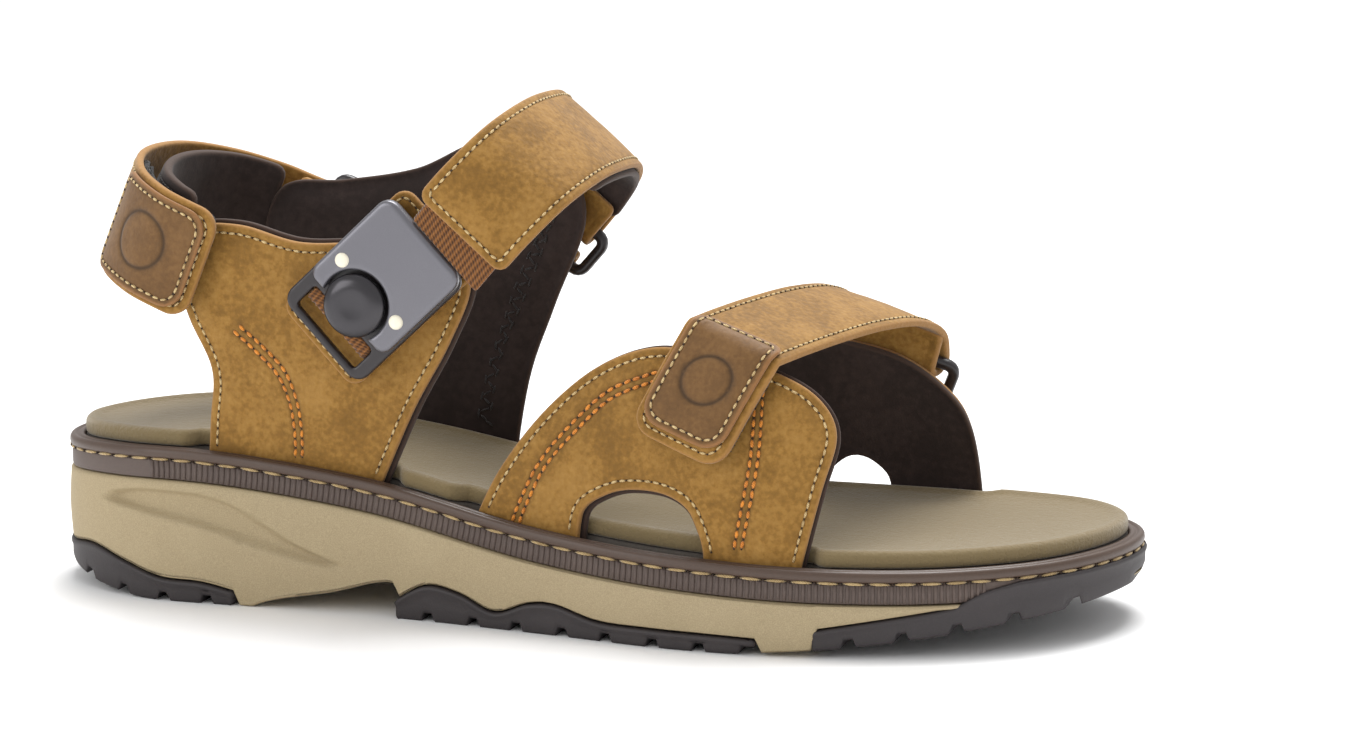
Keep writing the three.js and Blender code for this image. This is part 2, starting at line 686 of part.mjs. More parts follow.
/** The ring and the tab of a strap. */
function addRing(name, ring, half, width) {
  addPiece(`${name}_ring`, 'plastic', ringGeometry(ring, width + 2 * RING_SIDE_CLEARANCE));
  addPiece(`${name}_ring_tab`, 'nubuck', ringTab(ring, half, width));
  axes[`${name}_ring_lower`] = { point: ring.point(0, -ringReach, 0), axis: ring.w };
  axes[`${name}_ring_upper`] = { point: ring.point(0, ringReach, 0), axis: ring.w };
}

const hookStack = LEATHER / 2 + GAP + HOOK_TAPE / 2;
const loopStack = hookStack + HOOK_TAPE / 2 + GAP + LOOP_TAPE / 2;
const patchStack = LEATHER / 2 + GAP + PATCH / 2;
const strapStand = GAP + LOOP_TAPE + GAP + HOOK_TAPE + GAP + LEATHER / 2;

// ---------------------------------------------------------------- forefoot strap

function buildForefoot() {
  const basis = strapBasis(FOREFOOT_PITCH, FOREFOOT_YAW);
  const w = FOREFOOT_W + carry(basis.w, FOREFOOT_RING[0], FOREFOOT_RING_SIDE);
  const tabEnd = carried(basis, FOREFOOT_W, FOREFOOT_END);
  const wallEnd = carried(basis, FOREFOOT_W, FOREFOOT_WALL_END);
  const peak = carried(basis, FOREFOOT_W, FOREFOOT_PEAK);
  const ring = placeRing(vampHalf, along(FOREFOOT_RING[0]), FOREFOOT_RING[1], FOREFOOT_PITCH);
  const strapPath = (atW, v, width, corner) => {
    const wall = [];
    for (const f of [0, 0.3, 0.6, 1]) {
      const low = tabEnd + cornerBack(v, width, corner);
      const d = low + (wallEnd - low) * f;
      wall.push(new THREE.Vector2(wallAt(basis, 'lateral', vampHalf, d, atW), d));
    }
    const start = offsetPath(wall, strapStand);
    const end = strapEnd(basis, ring, atW);
    const top = arch(start[3], end[0], peak, [[0.14, 0.66], [0.34, 0.95], [0.55, 1], [0.76, 0.86],
      [0.92, 0.52]]);
    return [...through(start, 8), ...through([start[3], ...top, end[0]], 14).slice(1, -1), ...end];
  };
  addRing('forefoot', ring, vampHalf, FOREFOOT_STRAP_WIDTH + FOREFOOT_RING_EASE);
  addPiece('forefoot_strap', 'nubuck', strip(basis, w, FOREFOOT_STRAP_WIDTH, ROUNDED,
    (atW, v) => strapPath(atW, v, FOREFOOT_STRAP_WIDTH, TAB_CORNER), LEATHER));
  const tapeWidth = FOREFOOT_STRAP_WIDTH - 1.6;
  const tapePath = (atW, v) => strapPath(atW, v, tapeWidth, TAB_CORNER);
  addPiece('forefoot_hook_tape', 'tape', strip(basis, w, tapeWidth, ROUNDED,
    (atW, v) => under(tapePath(atW, v), 0, 8, hookStack), HOOK_TAPE));
  addPiece('forefoot_loop_tape', 'tape', strip(basis, w, tapeWidth - 2, PLAIN,
    (atW) => under(tapePath(atW, 0), 1, 8, loopStack), LOOP_TAPE));
  addPiece('forefoot_patch', 'patch', strip(basis, w, FOREFOOT_STRAP_WIDTH - 3, ROUNDED,
    (atW, v) => under(strapPath(atW, v, FOREFOOT_STRAP_WIDTH - 3, TAB_CORNER), 1, 10, -patchStack), PATCH));
}

// ---------------------------------------------------------------- heel strap

function buildHeel() {
  const basis = strapBasis(HEEL_PITCH - 90, 0);
  const w = HEEL_W + carry(basis.w, HEEL_RING[0], 0);
  const tabEnd = carried(basis, HEEL_W, HEEL_END);
  const peak = carried(basis, HEEL_W, HEEL_PEAK);
  const slingEdge = carried(basis, HEEL_W, SLING_START);
  const ring = placeRing(quarterHalf, along(HEEL_RING[0]), HEEL_RING[1], HEEL_PITCH - 90);
  const end = strapEnd(basis, ring, w);
  const lateral = wallAt(basis, 'lateral', quarterHalf, tabEnd, w) - strapStand;
  const strapPath = (v, width, corner) => {
    const tip = tabEnd + cornerBack(v, width, corner);
    const start = [
      new THREE.Vector2(lateral, tip),
      new THREE.Vector2(lateral, tabEnd + TAB_CORNER + 2),
    ];
    const top = arch(start[1], end[0], peak, [[0.02, 0.34], [0.12, 0.7], [0.3, 0.94], [0.5, 1],
      [0.7, 0.93], [0.87, 0.7], [0.96, 0.42], [0.98, 0.2]]);
    return [...through(start, 3), ...through([start[1], ...top, end[0]], 24).slice(1, -1), ...end];
  };
  addRing('heel', ring, quarterHalf, HEEL_STRAP_WIDTH);
  const tab = (v, width) => strapPath(v, width, TAB_CORNER);
  addPiece('heel_tab', 'nubuck', strip(basis, w, HEEL_STRAP_WIDTH, ROUNDED,
    (atW, v) => tab(v, HEEL_STRAP_WIDTH).slice(0, HEEL_TAB_STEPS + 1), LEATHER));
  const rest = strapPath(0, 1, 0).slice(HEEL_TAB_STEPS);
  const [hinge] = offsetPath(rest, LEATHER / 2);
  rest[0].addScaledVector(new THREE.Vector2().subVectors(rest[1], rest[0]).normalize(), GAP);
  addPiece('heel_strap', 'nubuck', strip(basis, w, HEEL_STRAP_WIDTH, PLAIN, () => rest, LEATHER));
  axes.heel_tab = { point: basis.point(hinge.x, hinge.y, w), axis: basis.w };
  addPiece('heel_patch', 'patch', strip(basis, w, HEEL_STRAP_WIDTH - 3, ROUNDED,
    (atW, v) => under(tab(v, HEEL_STRAP_WIDTH - 3), 0, 9, -patchStack), PATCH));
  const tapeWidth = HEEL_STRAP_WIDTH - 1.6;
  addPiece('heel_hook_tape', 'tape', strip(basis, w, tapeWidth, ROUNDED,
    (atW, v) => under(tab(v, tapeWidth), 0, HEEL_TAB_STEPS - 1, hookStack), HOOK_TAPE));
  addPiece('heel_loop_tape', 'tape', strip(basis, w, tapeWidth - 2, PLAIN,
    () => under(tab(0, tapeWidth), 1, HEEL_TAB_STEPS - 1, loopStack), LOOP_TAPE));
  const slingStart = new THREE.Vector2(-across(ANKLE_HALF.lateral) + SLING_THICKNESS / 2, slingEdge);
  const slingEnd = new THREE.Vector2(across(ANKLE_HALF.medial) - SLING_THICKNESS / 2, slingEdge);
  const slingPeak = peak - loopStack - LOOP_TAPE / 2 - GAP - SLING_THICKNESS / 2 - SLING_SLACK;
  const sling = through(arch(slingStart, slingEnd, slingPeak, [
    [0, 0], [0.026, 0.3], [0.125, 0.67], [0.3, 0.92], [0.5, 1], [0.7, 0.92], [0.875, 0.67],
    [0.974, 0.3], [1, 0]]), 22);
  addPiece('heel_sling', 'lining',
    strip(basis, w, HEEL_STRAP_WIDTH + 2, PLAIN, () => sling, SLING_THICKNESS));
}

// ---------------------------------------------------------------- instep strap and buckle

/** Stand-off of each buckle layer from the quarter's outer face. */
const anchorFace = GAP;
const anchorWebbing = anchorFace + ANCHOR_TAB + GAP;
const frameFace = anchorWebbing + WEBBING + GAP;
const plateFace = frameFace + BUCKLE_FRAME_THICKNESS + GAP;

/** Matrix that lays a shape on the lateral ankle: x along the buckle, z outwards. */
function buckleMatrix(stand) {
  const u = new THREE.Vector3(Math.cos(rad(BUCKLE_SLOPE)), 0, Math.sin(rad(BUCKLE_SLOPE)));
  const out = new THREE.Vector3(0, -1, 0);
  const v = new THREE.Vector3().crossVectors(out, u);
  const matrix = new THREE.Matrix4().makeBasis(u, v, out);
  return matrix.setPosition(along(BUCKLE_MIDDLE[0]), -across(ANKLE_HALF.lateral) - stand, BUCKLE_MIDDLE[1]);
}

/** A flat plate of the buckle with softened edges. */
function plateGeometry(shape, thickness, bevel, stand) {
  const geometry = new THREE.ExtrudeGeometry(shape, {
    depth: thickness - 2 * bevel,
    bevelEnabled: bevel > 0,
    bevelThickness: bevel,
    bevelSize: bevel,
    bevelOffset: -bevel,
    bevelSegments: 1,
    curveSegments: 4,
  });
  return geometry.translate(0, 0, bevel).applyMatrix4(buckleMatrix(stand));
}

/** Moves a centred shape's points along the buckle. */
function shifted(shape, distance) {
  return shape.getPoints(3).map((p) => new THREE.Vector2(p.x + distance, p.y));
}

function buildBuckle() {
  const rivetPlace = BUTTON_PLACE + RIVET_PLACE[0];
  const tab = roundedRect(BUCKLE_FRAME_LENGTH + 2 * ANCHOR_MARGIN, BUCKLE_WIDTH + 3, 4);
  addPiece('buckle_anchor_tab', 'nubuck', plateGeometry(tab, ANCHOR_TAB, 0, anchorFace));

  const frame = roundedRect(BUCKLE_FRAME_LENGTH, BUCKLE_WIDTH, 4);
  const window = shifted(roundedRect(BUCKLE_WINDOW - 1, BUCKLE_WIDTH - 7, 1),
    -BUCKLE_FRAME_LENGTH / 2 + 3 + BUCKLE_WINDOW / 2);
  frame.holes.push(new THREE.Path(window));
  const bore = new THREE.Path();
  bore.absarc(BUTTON_PLACE, 0, BUTTON_STEM + GAP, 0, Math.PI * 2, true);
  frame.holes.push(new THREE.Path(bore.getPoints(12)));
  addPiece('buckle_frame', 'plastic', plateGeometry(frame, BUCKLE_FRAME_THICKNESS, 0.5, frameFace));

  const shape = new THREE.Shape();
  const left = PLATE_START;
  const right = PLATE_START + PLATE_LENGTH;
  const y = PLATE_WIDTH / 2;
  const corner = 3;
  const notch = BUTTON_RADIUS + BUTTON_ROOM;
  const reach = Math.sqrt(notch * notch - (left - BUTTON_PLACE) ** 2);
  const angle = Math.atan2(reach, left - BUTTON_PLACE);
  shape.moveTo(left + corner, -y);
  shape.lineTo(right - corner, -y);
  shape.absarc(right - corner, -y + corner, corner, -Math.PI / 2, 0);
  shape.absarc(right - corner, y - corner, corner, 0, Math.PI / 2);
  shape.lineTo(left + corner, y);
  shape.absarc(left + corner, y - corner, corner, Math.PI / 2, Math.PI);
  shape.lineTo(left, reach);
  shape.absarc(BUTTON_PLACE, 0, notch, angle, -angle, true);
  shape.absarc(left + corner, -y + corner, corner, Math.PI, Math.PI * 1.5);
  const plate = plateGeometry(shape, PLATE_THICKNESS, 0.7, plateFace);
  const seats = [];
  for (const side of [-1, 1]) {
    const hole = new THREE.CylinderGeometry(RIVET_RADIUS + GAP, RIVET_RADIUS + GAP, 2, 16)
      .rotateX(Math.PI / 2).translate(rivetPlace, side * RIVET_PLACE[1], PLATE_THICKNESS);
    seats.push(toSolid(hole.applyMatrix4(buckleMatrix(plateFace))));
    const rivet = new THREE.LatheGeometry([
      new THREE.Vector2(0, 0), new THREE.Vector2(RIVET_RADIUS, 0), new THREE.Vector2(RIVET_RADIUS, 0.9),
      new THREE.Vector2(RIVET_RADIUS * 0.6, 1.3), new THREE.Vector2(0, 1.4)], 16);
    rivet.rotateX(Math.PI / 2)
      .translate(rivetPlace, side * RIVET_PLACE[1], PLATE_THICKNESS - 1 + GAP);
    addPiece(side < 0 ? 'buckle_rivet_front' : 'buckle_rivet_rear', 'rivet',
      toGeometry(toSolid(rivet.applyMatrix4(buckleMatrix(plateFace)))));
  }
  addPiece('buckle_plate', 'gunmetal', toGeometry(toSolid(plate).subtract(seats[0]).subtract(seats[1])));

  const floor = BUCKLE_FRAME_THICKNESS + GAP + BUTTON_TRAVEL;
  const dome = [new THREE.Vector2(0, BUTTON_TRAVEL - 1),
    new THREE.Vector2(BUTTON_STEM, BUTTON_TRAVEL - 1),
    new THREE.Vector2(BUTTON_STEM, floor), new THREE.Vector2(BUTTON_RADIUS, floor),
    new THREE.Vector2(BUTTON_RADIUS, floor + 1.6), new THREE.Vector2(BUTTON_RADIUS * 0.8, floor + 3),
    new THREE.Vector2(BUTTON_RADIUS * 0.45, floor + 3.5), new THREE.Vector2(0, floor + 3.1)];
  const button = new THREE.LatheGeometry(dome, 24).rotateX(Math.PI / 2).translate(BUTTON_PLACE, 0, 0);
  addPiece('buckle_button', 'plastic', toGeometry(toSolid(button.applyMatrix4(buckleMatrix(frameFace)))));

  const barMiddle = -BUCKLE_FRAME_LENGTH / 2 + 1.5;
  const halfBar = BUCKLE_FRAME_THICKNESS / 2;
  const turn = halfBar + GAP * 2 + WEBBING / 2;
  const loop = [new THREE.Vector2(barMiddle + ANCHOR_LEG, -turn), new THREE.Vector2(barMiddle + 5, -turn),
    ...arc(barMiddle, 0, turn, -90, -270, 8), new THREE.Vector2(barMiddle + 1.2, turn),
    ...arc(barMiddle + 1.2, 0, turn, 90, 10, 4)];
  const u = new THREE.Vector3();
  const v = new THREE.Vector3();
  const out = new THREE.Vector3();
  buckleMatrix(0).extractBasis(u, v, out);
  const centre = new THREE.Vector3(along(BUCKLE_MIDDLE[0]), 0, BUCKLE_MIDDLE[1]);
  centre.y = -across(ANKLE_HALF.lateral) - frameFace - halfBar;
  const loopBasis = {
    point: (a, b, c) => centre.clone().addScaledVector(u, a).addScaledVector(out, b)
      .addScaledVector(v, c),
  };
  addPiece('anchor_webbing', 'webbing',
    strip(loopBasis, 0, ANCHOR_WEBBING_WIDTH, PLAIN, () => loop, WEBBING));
}

function buildInstep() {
  const basis = strapBasis(INSTEP_PITCH, 0);
  const w = INSTEP_W + carry(basis.w, INSTEP_RING[0], 0);
  const ring = placeRing(quarterHalf, along(INSTEP_RING[0]), INSTEP_RING[1], INSTEP_PITCH);
  const end = strapEnd(basis, ring, w);
  const webbingQ = -across(ANKLE_HALF.lateral) - plateFace - PLATE_THICKNESS / 2;
  const webbingStack = LEATHER / 2 + GAP + WEBBING / 2;
  const start = new THREE.Vector2(webbingQ - webbingStack, carried(basis, INSTEP_W, INSTEP_END));
  const peak = carried(basis, INSTEP_W, INSTEP_PEAK);
  const shares = [[0, 0], [0.015, 0.34], [0.11, 0.74], [0.3, 0.96], [0.5, 1], [0.7, 0.94], [0.88, 0.72],
    [0.97, 0.4], [1, 0.12], [1, 0]];
  const path = [...through(arch(start, end[0], peak, shares), 26).slice(0, -1), ...end];
  addRing('instep', ring, quarterHalf, INSTEP_STRAP_WIDTH);
  addPiece('instep_strap', 'nubuck', strip(basis, w, INSTEP_STRAP_WIDTH, PLAIN, () => path, LEATHER));
  const webbing = under(path, 0, 8, webbingStack);
  const u = new THREE.Vector3();
  const v = new THREE.Vector3();
  const out = new THREE.Vector3();
  buckleMatrix(0).extractBasis(u, v, out);
  const edge = new THREE.Vector3(along(BUCKLE_MIDDLE[0]), 0, BUCKLE_MIDDLE[1])
    .addScaledVector(u, PLATE_START + PLATE_LENGTH + GAP);
  addPiece('instep_webbing', 'webbing', strip(basis, w, WEBBING_WIDTH, PLAIN, (atW) => {
    const d = edge.dot(basis.d) + ((atW - edge.dot(basis.w)) * v.dot(basis.d)) / v.dot(basis.w);
    return [new THREE.Vector2(webbingQ, d), ...webbing];
  }, WEBBING));
  addPiece('instep_strap_lining', 'lining', strip(basis, w, INSTEP_STRAP_WIDTH, PLAIN,
    () => under(path, 8, 23, LEATHER / 2 + GAP + LINING / 2), LINING));
}

buildSole();
buildUppers();
buildForefoot();
buildHeel();
buildInstep();
buildBuckle();

const box = new THREE.Box3().setFromObject(part);
part.position.set(-(box.min.x + box.max.x) / 2, -(box.min.y + box.max.y) / 2, -box.min.z);
part.userData.axes = Object.fromEntries(Object.entries(axes)
  .map(([name, { point, axis }]) => [name, { point: point.add(part.position), axis }]));

export default part;
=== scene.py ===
"""Finished surfaces of a strappy sport sandal, right foot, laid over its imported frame.

Shapes are worked out in millimetres and become metres when a mesh is made. +X points to the
toe, +Y to the medial (inner) side and +Z up.
"""

import logging
import math
from dataclasses import dataclass, field
from enum import Enum
from typing import Callable, Sequence

import bpy
import numpy as np
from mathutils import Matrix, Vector, geometry


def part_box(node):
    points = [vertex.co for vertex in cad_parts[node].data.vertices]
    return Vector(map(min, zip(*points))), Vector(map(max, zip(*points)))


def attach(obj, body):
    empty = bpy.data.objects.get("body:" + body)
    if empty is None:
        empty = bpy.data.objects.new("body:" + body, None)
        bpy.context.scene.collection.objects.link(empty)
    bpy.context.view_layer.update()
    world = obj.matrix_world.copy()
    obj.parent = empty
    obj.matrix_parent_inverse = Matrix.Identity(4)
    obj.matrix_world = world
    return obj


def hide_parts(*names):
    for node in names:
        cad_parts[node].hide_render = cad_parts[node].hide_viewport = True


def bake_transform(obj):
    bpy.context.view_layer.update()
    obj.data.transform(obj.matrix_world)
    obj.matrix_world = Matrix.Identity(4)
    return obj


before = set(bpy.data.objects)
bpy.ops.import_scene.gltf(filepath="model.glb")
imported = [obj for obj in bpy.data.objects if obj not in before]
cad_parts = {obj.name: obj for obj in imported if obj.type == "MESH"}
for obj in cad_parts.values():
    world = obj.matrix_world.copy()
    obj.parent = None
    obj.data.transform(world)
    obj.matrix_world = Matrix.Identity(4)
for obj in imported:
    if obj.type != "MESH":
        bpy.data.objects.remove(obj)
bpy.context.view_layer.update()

log = logging.getLogger("sandal")
MM = 0.001
Points = np.ndarray
Value = float | np.ndarray


class Side(Enum):
    """Side of the shoe, with the sign of its Y."""

    LATERAL = -1
    MEDIAL = 1


class Body(Enum):
    """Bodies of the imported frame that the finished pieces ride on."""

    SANDAL = "sandal"
    FOREFOOT_RING = "forefoot_ring_body"
    FOREFOOT_FLAP = "forefoot_flap"
    INSTEP_RING = "instep_ring_body"
    INSTEP_BAND = "instep_band"
    BUTTON = "release_button"
    HEEL_FLAP = "heel_flap"


# ------------------------------------------------------------------ curves in the plane


def spline(points: Sequence[Sequence[float]] | Points, steps: int) -> Points:
    """Draws a smooth curve through points.

    Args:
        points: the points to pass through.
        steps: number of equal steps of the curve's parameter.

    Returns:
        The curve as steps + 1 points.
    """
    p = np.asarray(points, float)
    last = len(p) - 1
    t = np.linspace(0, last, steps + 1)
    i = np.minimum(t.astype(int), last)
    w = (t - i)[:, None]
    before, here = p[np.maximum(i - 1, 0)], p[i]
    after, beyond = p[np.minimum(i + 1, last)], p[np.minimum(i + 2, last)]
    leave, arrive = (after - before) / 2, (beyond - here) / 2
    cubic = (2 * here - 2 * after + leave + arrive) * w**3
    square = (-3 * here + 3 * after - 2 * leave - arrive) * w**2
    return cubic + square + leave * w + here


def closed_spline(points: Sequence[Sequence[float]], steps: int) -> Points:
    """Draws a smooth closed curve whose speed follows the distances between its points.

    Args:
        points: the points to pass through, each once.
        steps: number of steps between neighbouring points.

    Returns:
        The curve's points, without a repeated last one.
    """
    p = np.asarray(points, float)
    w = np.linspace(0, 1, steps, endpoint=False)[:, None]
    runs = []
    for i in range(len(p)):
        a, b, c, d = (p[(i + k) % len(p)] for k in (-1, 0, 1, 2))
        first, middle, final = (math.sqrt(math.dist(*pair)) for pair in ((a, b), (b, c), (c, d)))
        leave = ((b - a) / first - (c - a) / (first + middle) + (c - b) / middle) * middle
        arrive = ((c - b) / middle - (d - b) / (middle + final) + (d - c) / final) * middle
        cubic = (2 * b - 2 * c + leave + arrive) * w**3
        runs.append(cubic + (-3 * b + 3 * c - 2 * leave - arrive) * w**2 + leave * w + b)
    return np.concatenate(runs)


def lengths_along(points: Points) -> Points:
    """Distance from the first point to each point, along the line."""
    return np.concatenate([[0], np.cumsum(np.linalg.norm(np.diff(points, axis=0), axis=1))])


def even(points: Points, step: float, closed: bool = False) -> Points:
    """Spaces a line's points evenly.

    Args:
        points: the line.
        step: wanted distance between points.
        closed: whether the line closes on itself.

    Returns:
        The same line with evenly spaced points; a closed one doesn't repeat its first point.
    """
    line = np.vstack([points, points[:1]]) if closed else points
    at = lengths_along(line)
    count = max(int(round(at[-1] / step)), 2)
    wanted = np.linspace(0, at[-1], count + 1)
    spaced = np.stack([np.interp(wanted, at, line[:, k]) for k in range(line.shape[1])], 1)
    return spaced[:-1] if closed else spaced


def sideways(points: Points, distance: Value, closed: bool = False) -> Points:
    """Moves a line sideways, to the left of its direction.

    Args:
        points: the line.
        distance: how far; a negative distance moves it to the right.
        closed: whether the line closes on itself.

    Returns:
        The moved line.
    """
    if closed:
        t = np.roll(points, -1, 0) - np.roll(points, 1, 0)
    else:
        t = points[np.minimum(np.arange(len(points)) + 1, len(points) - 1)]
        t = t - points[np.maximum(np.arange(len(points)) - 1, 0)]
    t = t / np.maximum(np.linalg.norm(t, axis=1), 1e-9)[:, None]
    left = np.stack([-t[:, 1], t[:, 0]], 1)
    return points + left * (np.asarray(distance)[..., None] if np.ndim(distance) else distance)


def arc(centre: Sequence[float], radius: float, start: float, end: float, steps: int) -> Points:
    """Points of an arc, its angles in degrees."""
    a = np.radians(np.linspace(start, end, steps + 1))
    return np.stack([centre[0] + radius * np.cos(a), centre[1] + radius * np.sin(a)], 1)


def band(start: float, end: float, width: float, first: float, last: float) -> Points:
    """Outline of a flat strap with round corners.

    Args:
        start: where it starts along the strap.
        end: where it ends along the strap.
        width: its width.
        first: corner radius at its start.
        last: corner radius at its end.

    Returns:
        The closed outline, counter-clockwise.
    """
    h = width / 2
    return np.vstack([
        arc((start + first, -h + first), first, 180, 270, 8),
        arc((end - last, -h + last), last, 270, 360, 8),
        arc((end - last, h - last), last, 0, 90, 8),
        arc((start + first, h - first), first, 90, 180, 8),
    ])


def ease(t: Value) -> Value:
    """Runs smoothly from 0 to 1 as t does."""
    c = np.clip(t, 0, 1)
    return c * c * (3 - 2 * c)


def distance_to(points: Points, line: Points, closed: bool) -> Points:
    """Shortest distance from each point to a line in the plane."""
    a = line
    b = np.roll(line, -1, 0)
    if not closed:
        a, b = a[:-1], b[:-1]
    run = b - a
    size = np.maximum((run**2).sum(1), 1e-12)
    best = np.full(len(points), 1e9)
    for start in range(0, len(points), 2000):
        p = points[start:start + 2000, None]
        t = np.clip(((p - a) * run).sum(2) / size, 0, 1)
        gap = np.linalg.norm(p - a - t[..., None] * run, axis=2)
        best[start:start + 2000] = gap.min(1)
    return best


def inside(points: Points, loop: Points) -> np.ndarray:
    """Whether each point lies inside a closed line."""
    a, b = loop, np.roll(loop, -1, 0)
    result = np.zeros(len(points), bool)
    for p, q in zip(a, b):
        crosses = (p[1] > points[:, 1]) != (q[1] > points[:, 1])
        with np.errstate(divide="ignore", invalid="ignore"):
            x = p[0] + (points[:, 1] - p[1]) * (q[0] - p[0]) / (q[1] - p[1])
        result ^= crosses & (points[:, 0] < x)
    return result


# ------------------------------------------------------------------ the shoe's own shape


@dataclass
class Last:
    """The sole's outline and heights and the walls of the uppers: what every piece is laid on."""

    gap: float = 0.3
    welt_height: float = 3.0
    welt_width: float = 4.2
    rand_height: float = 5.2
    board: float = 2.0
    cover_rise: float = 4.4
    footbed_setback: float = 4.5
    upper_setback: float = 4.5
    leather: float = 2.2
    lining: float = 1.4
    ankle_half: dict = field(default_factory=lambda: {Side.LATERAL: 35.0, Side.MEDIAL: 33.0})
    vamp_lean: dict = field(default_factory=lambda: {Side.LATERAL: 12.0, Side.MEDIAL: 14.0})
    ankle_rise: float = 34.0
    lean_height: float = 50.0
    lean_power: float = 1.6
    plan: tuple = (
        (-150, 0), (-142, -21), (-118, -35.5), (-80, -38), (-40, -40), (0, -46), (40, -53),
        (75, -52.5), (108, -43), (134, -24), (148.5, 3), (149, 24), (136, 42), (105, 51.5),
        (65, 51.5), (30, 44), (-10, 36), (-50, 33.5), (-90, 35.5), (-122, 33), (-143, 18))

    def __post_init__(self) -> None:
        """Draws the outline and the height curves."""
        self.outline = closed_spline(self.plan, 40)
        self.edges = {}
        for side in Side:
            near = self.outline[self.outline[:, 1] * side.value > -3]
            self.edges[side] = near[np.argsort(near[:, 0])]
        self.welt_top = self.height(
            (-160, 39.5), (-125, 41.8), (-95, 41.8), (-50, 37), (0, 27.6), (50, 23.7),
            (100, 22.6), (160, 23.2))
        tread = self.height(
            (-160, 12), (-148, 6.5), (-134, 2.6), (-118, 0.3), (-105, 0), (-60, 0), (-20, 0),
            (20, 0), (50, 0), (75, 1.7), (100, 4.6), (125, 8.2), (160, 13.5))
        arch = self.height(
            (-160, -9), (-92, -9), (-82, 0.5), (-60, 5.5), (-42, 9.5), (-32, 2), (-26, -9),
            (160, -9))
        self.ground = lambda x: np.maximum(tread(x), 0)
        self.bottom = lambda x: np.maximum(self.ground(x), arch(x))

    @staticmethod
    def height(*pairs: tuple[float, float]) -> Callable[[Value], Value]:
        """A smooth height along the shoe through (x, z) pairs."""
        line = spline(pairs, 400)
        return lambda x: np.interp(x, line[:, 0], line[:, 1])

    def welt_bottom(self, x: Value) -> Value:
        """Height of the welt's underside."""
        return self.welt_top(x) - self.welt_height

    def rand_bottom(self, x: Value) -> Value:
        """Height of the ribbed rand's underside."""
        return self.welt_bottom(x) - self.gap - self.rand_height

    def midsole_top(self, x: Value) -> Value:
        """Height of the midsole's top."""
        return self.rand_bottom(x) - self.gap

    def cover_top(self, x: Value) -> Value:
        """Height of the footbed."""
        return self.welt_top(x) + self.cover_rise

    def edge_at(self, side: Side, x: Value) -> Value:
        """Half-width of the outline at x on one side."""
        line = self.edges[side]
        return np.abs(np.interp(x, line[:, 0], line[:, 1]))

    def quarter_half(self, side: Side, x: Value, z: Value) -> Value:
        """Half-width of a quarter's outer face: it rises to an upright ankle plane."""
        base = self.edge_at(side, x) - self.upper_setback
        rise = (z - self.cover_top(x) - 1) / self.ankle_rise
        return base + (self.ankle_half[side] - base) * ease(rise)

    def vamp_half(self, side: Side, x: Value, z: Value) -> Value:
        """Half-width of a vamp's outer face: it curves in over the foot."""
        base = self.edge_at(side, x) - self.upper_setback
        rise = np.maximum(z - self.cover_top(x) + 2, 0)
        return base - self.vamp_lean[side] * (rise / self.lean_height) ** self.lean_power


LAST = Last()


def frame_shift() -> Points:
    """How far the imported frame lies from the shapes' own origin, read off the welt."""
    low, high = (np.array(corner)[:2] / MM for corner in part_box("welt"))
    drawn = (LAST.outline.min(0) + LAST.outline.max(0)) / 2
    return np.append((low + high) / 2 - drawn, 0.0)


SHIFT = frame_shift()


# ------------------------------------------------------------------ surfaces to lay pieces on

Half = Callable[[Side, Value, Value], Value]
FINER = 3  # steps of a course for each coarse one that its marks count
SEAM_DEPTH, SEAM_WIDTH = 0.26, 0.5  # the hollow that a row of stitches pulls
FURROW_DEPTH, FURROW_WIDTH = 0.3, 0.6  # a line pressed or sewn deep into the leather
RIB_HEIGHT = 0.14


@dataclass
class Wall:
    """One side's wall. A pattern on it is drawn in X and Z."""

    half: Half
    side: Side

    def lay(self, pattern: Points, lift: Value) -> Points:
        """Places pattern points, lifted off the wall's outer face."""
        x, z = pattern[:, 0], pattern[:, 1]
        y = self.side.value * self.half(self.side, x, z)
        slope_x = self.half(self.side, x + 0.5, z) - self.half(self.side, x - 0.5, z)
        slope_z = self.half(self.side, x, z + 0.5) - self.half(self.side, x, z - 0.5)
        n = np.stack([-slope_x, np.full(len(x), float(self.side.value)), -slope_z], 1)
        n /= np.linalg.norm(n, axis=1)[:, None]
        return np.stack([x, y, z], 1) + n * np.broadcast_to(lift, x.shape)[:, None]


@dataclass
class Axes:
    """Directions of a strap: q across the foot, d up in the strap's plane, w along its width."""

    q: Points
    d: Points
    w: Points
    origin: Points = field(default_factory=lambda: np.zeros(3))

    @staticmethod
    def strap(pitch: float, yaw: float = 0.0) -> "Axes":
        """Axes of a strap that is pitched and turned by angles in degrees."""
        p, y = math.radians(pitch), math.radians(yaw)
        q = np.array([math.sin(y), math.cos(y), 0])
        w = np.array([math.cos(p) * math.cos(y), -math.cos(p) * math.sin(y), -math.sin(p)])
        return Axes(q, np.cross(w, q), w)

    def point(self, q: Value, d: Value, w: Value) -> Points:
        """Place of a point given in these axes."""
        q, d, w = (np.asarray(v, float)[..., None] for v in (q, d, w))
        return self.origin + q * self.q + d * self.d + w * self.w

    def wall(self, half: Half, side: Side, d: Value, w: float) -> Value:
        """Place across the foot where a wall's outer face lies, at d up and w along."""
        d = np.asarray(d, float)
        q = np.full(d.shape, side.value * float(half(side, 0.0, 60.0)))
        for _ in range(30):
            p = self.point(q, d, w)
            q = q + (side.value * half(side, p[..., 0], p[..., 2]) - p[..., 1]) / self.q[1]
        return q


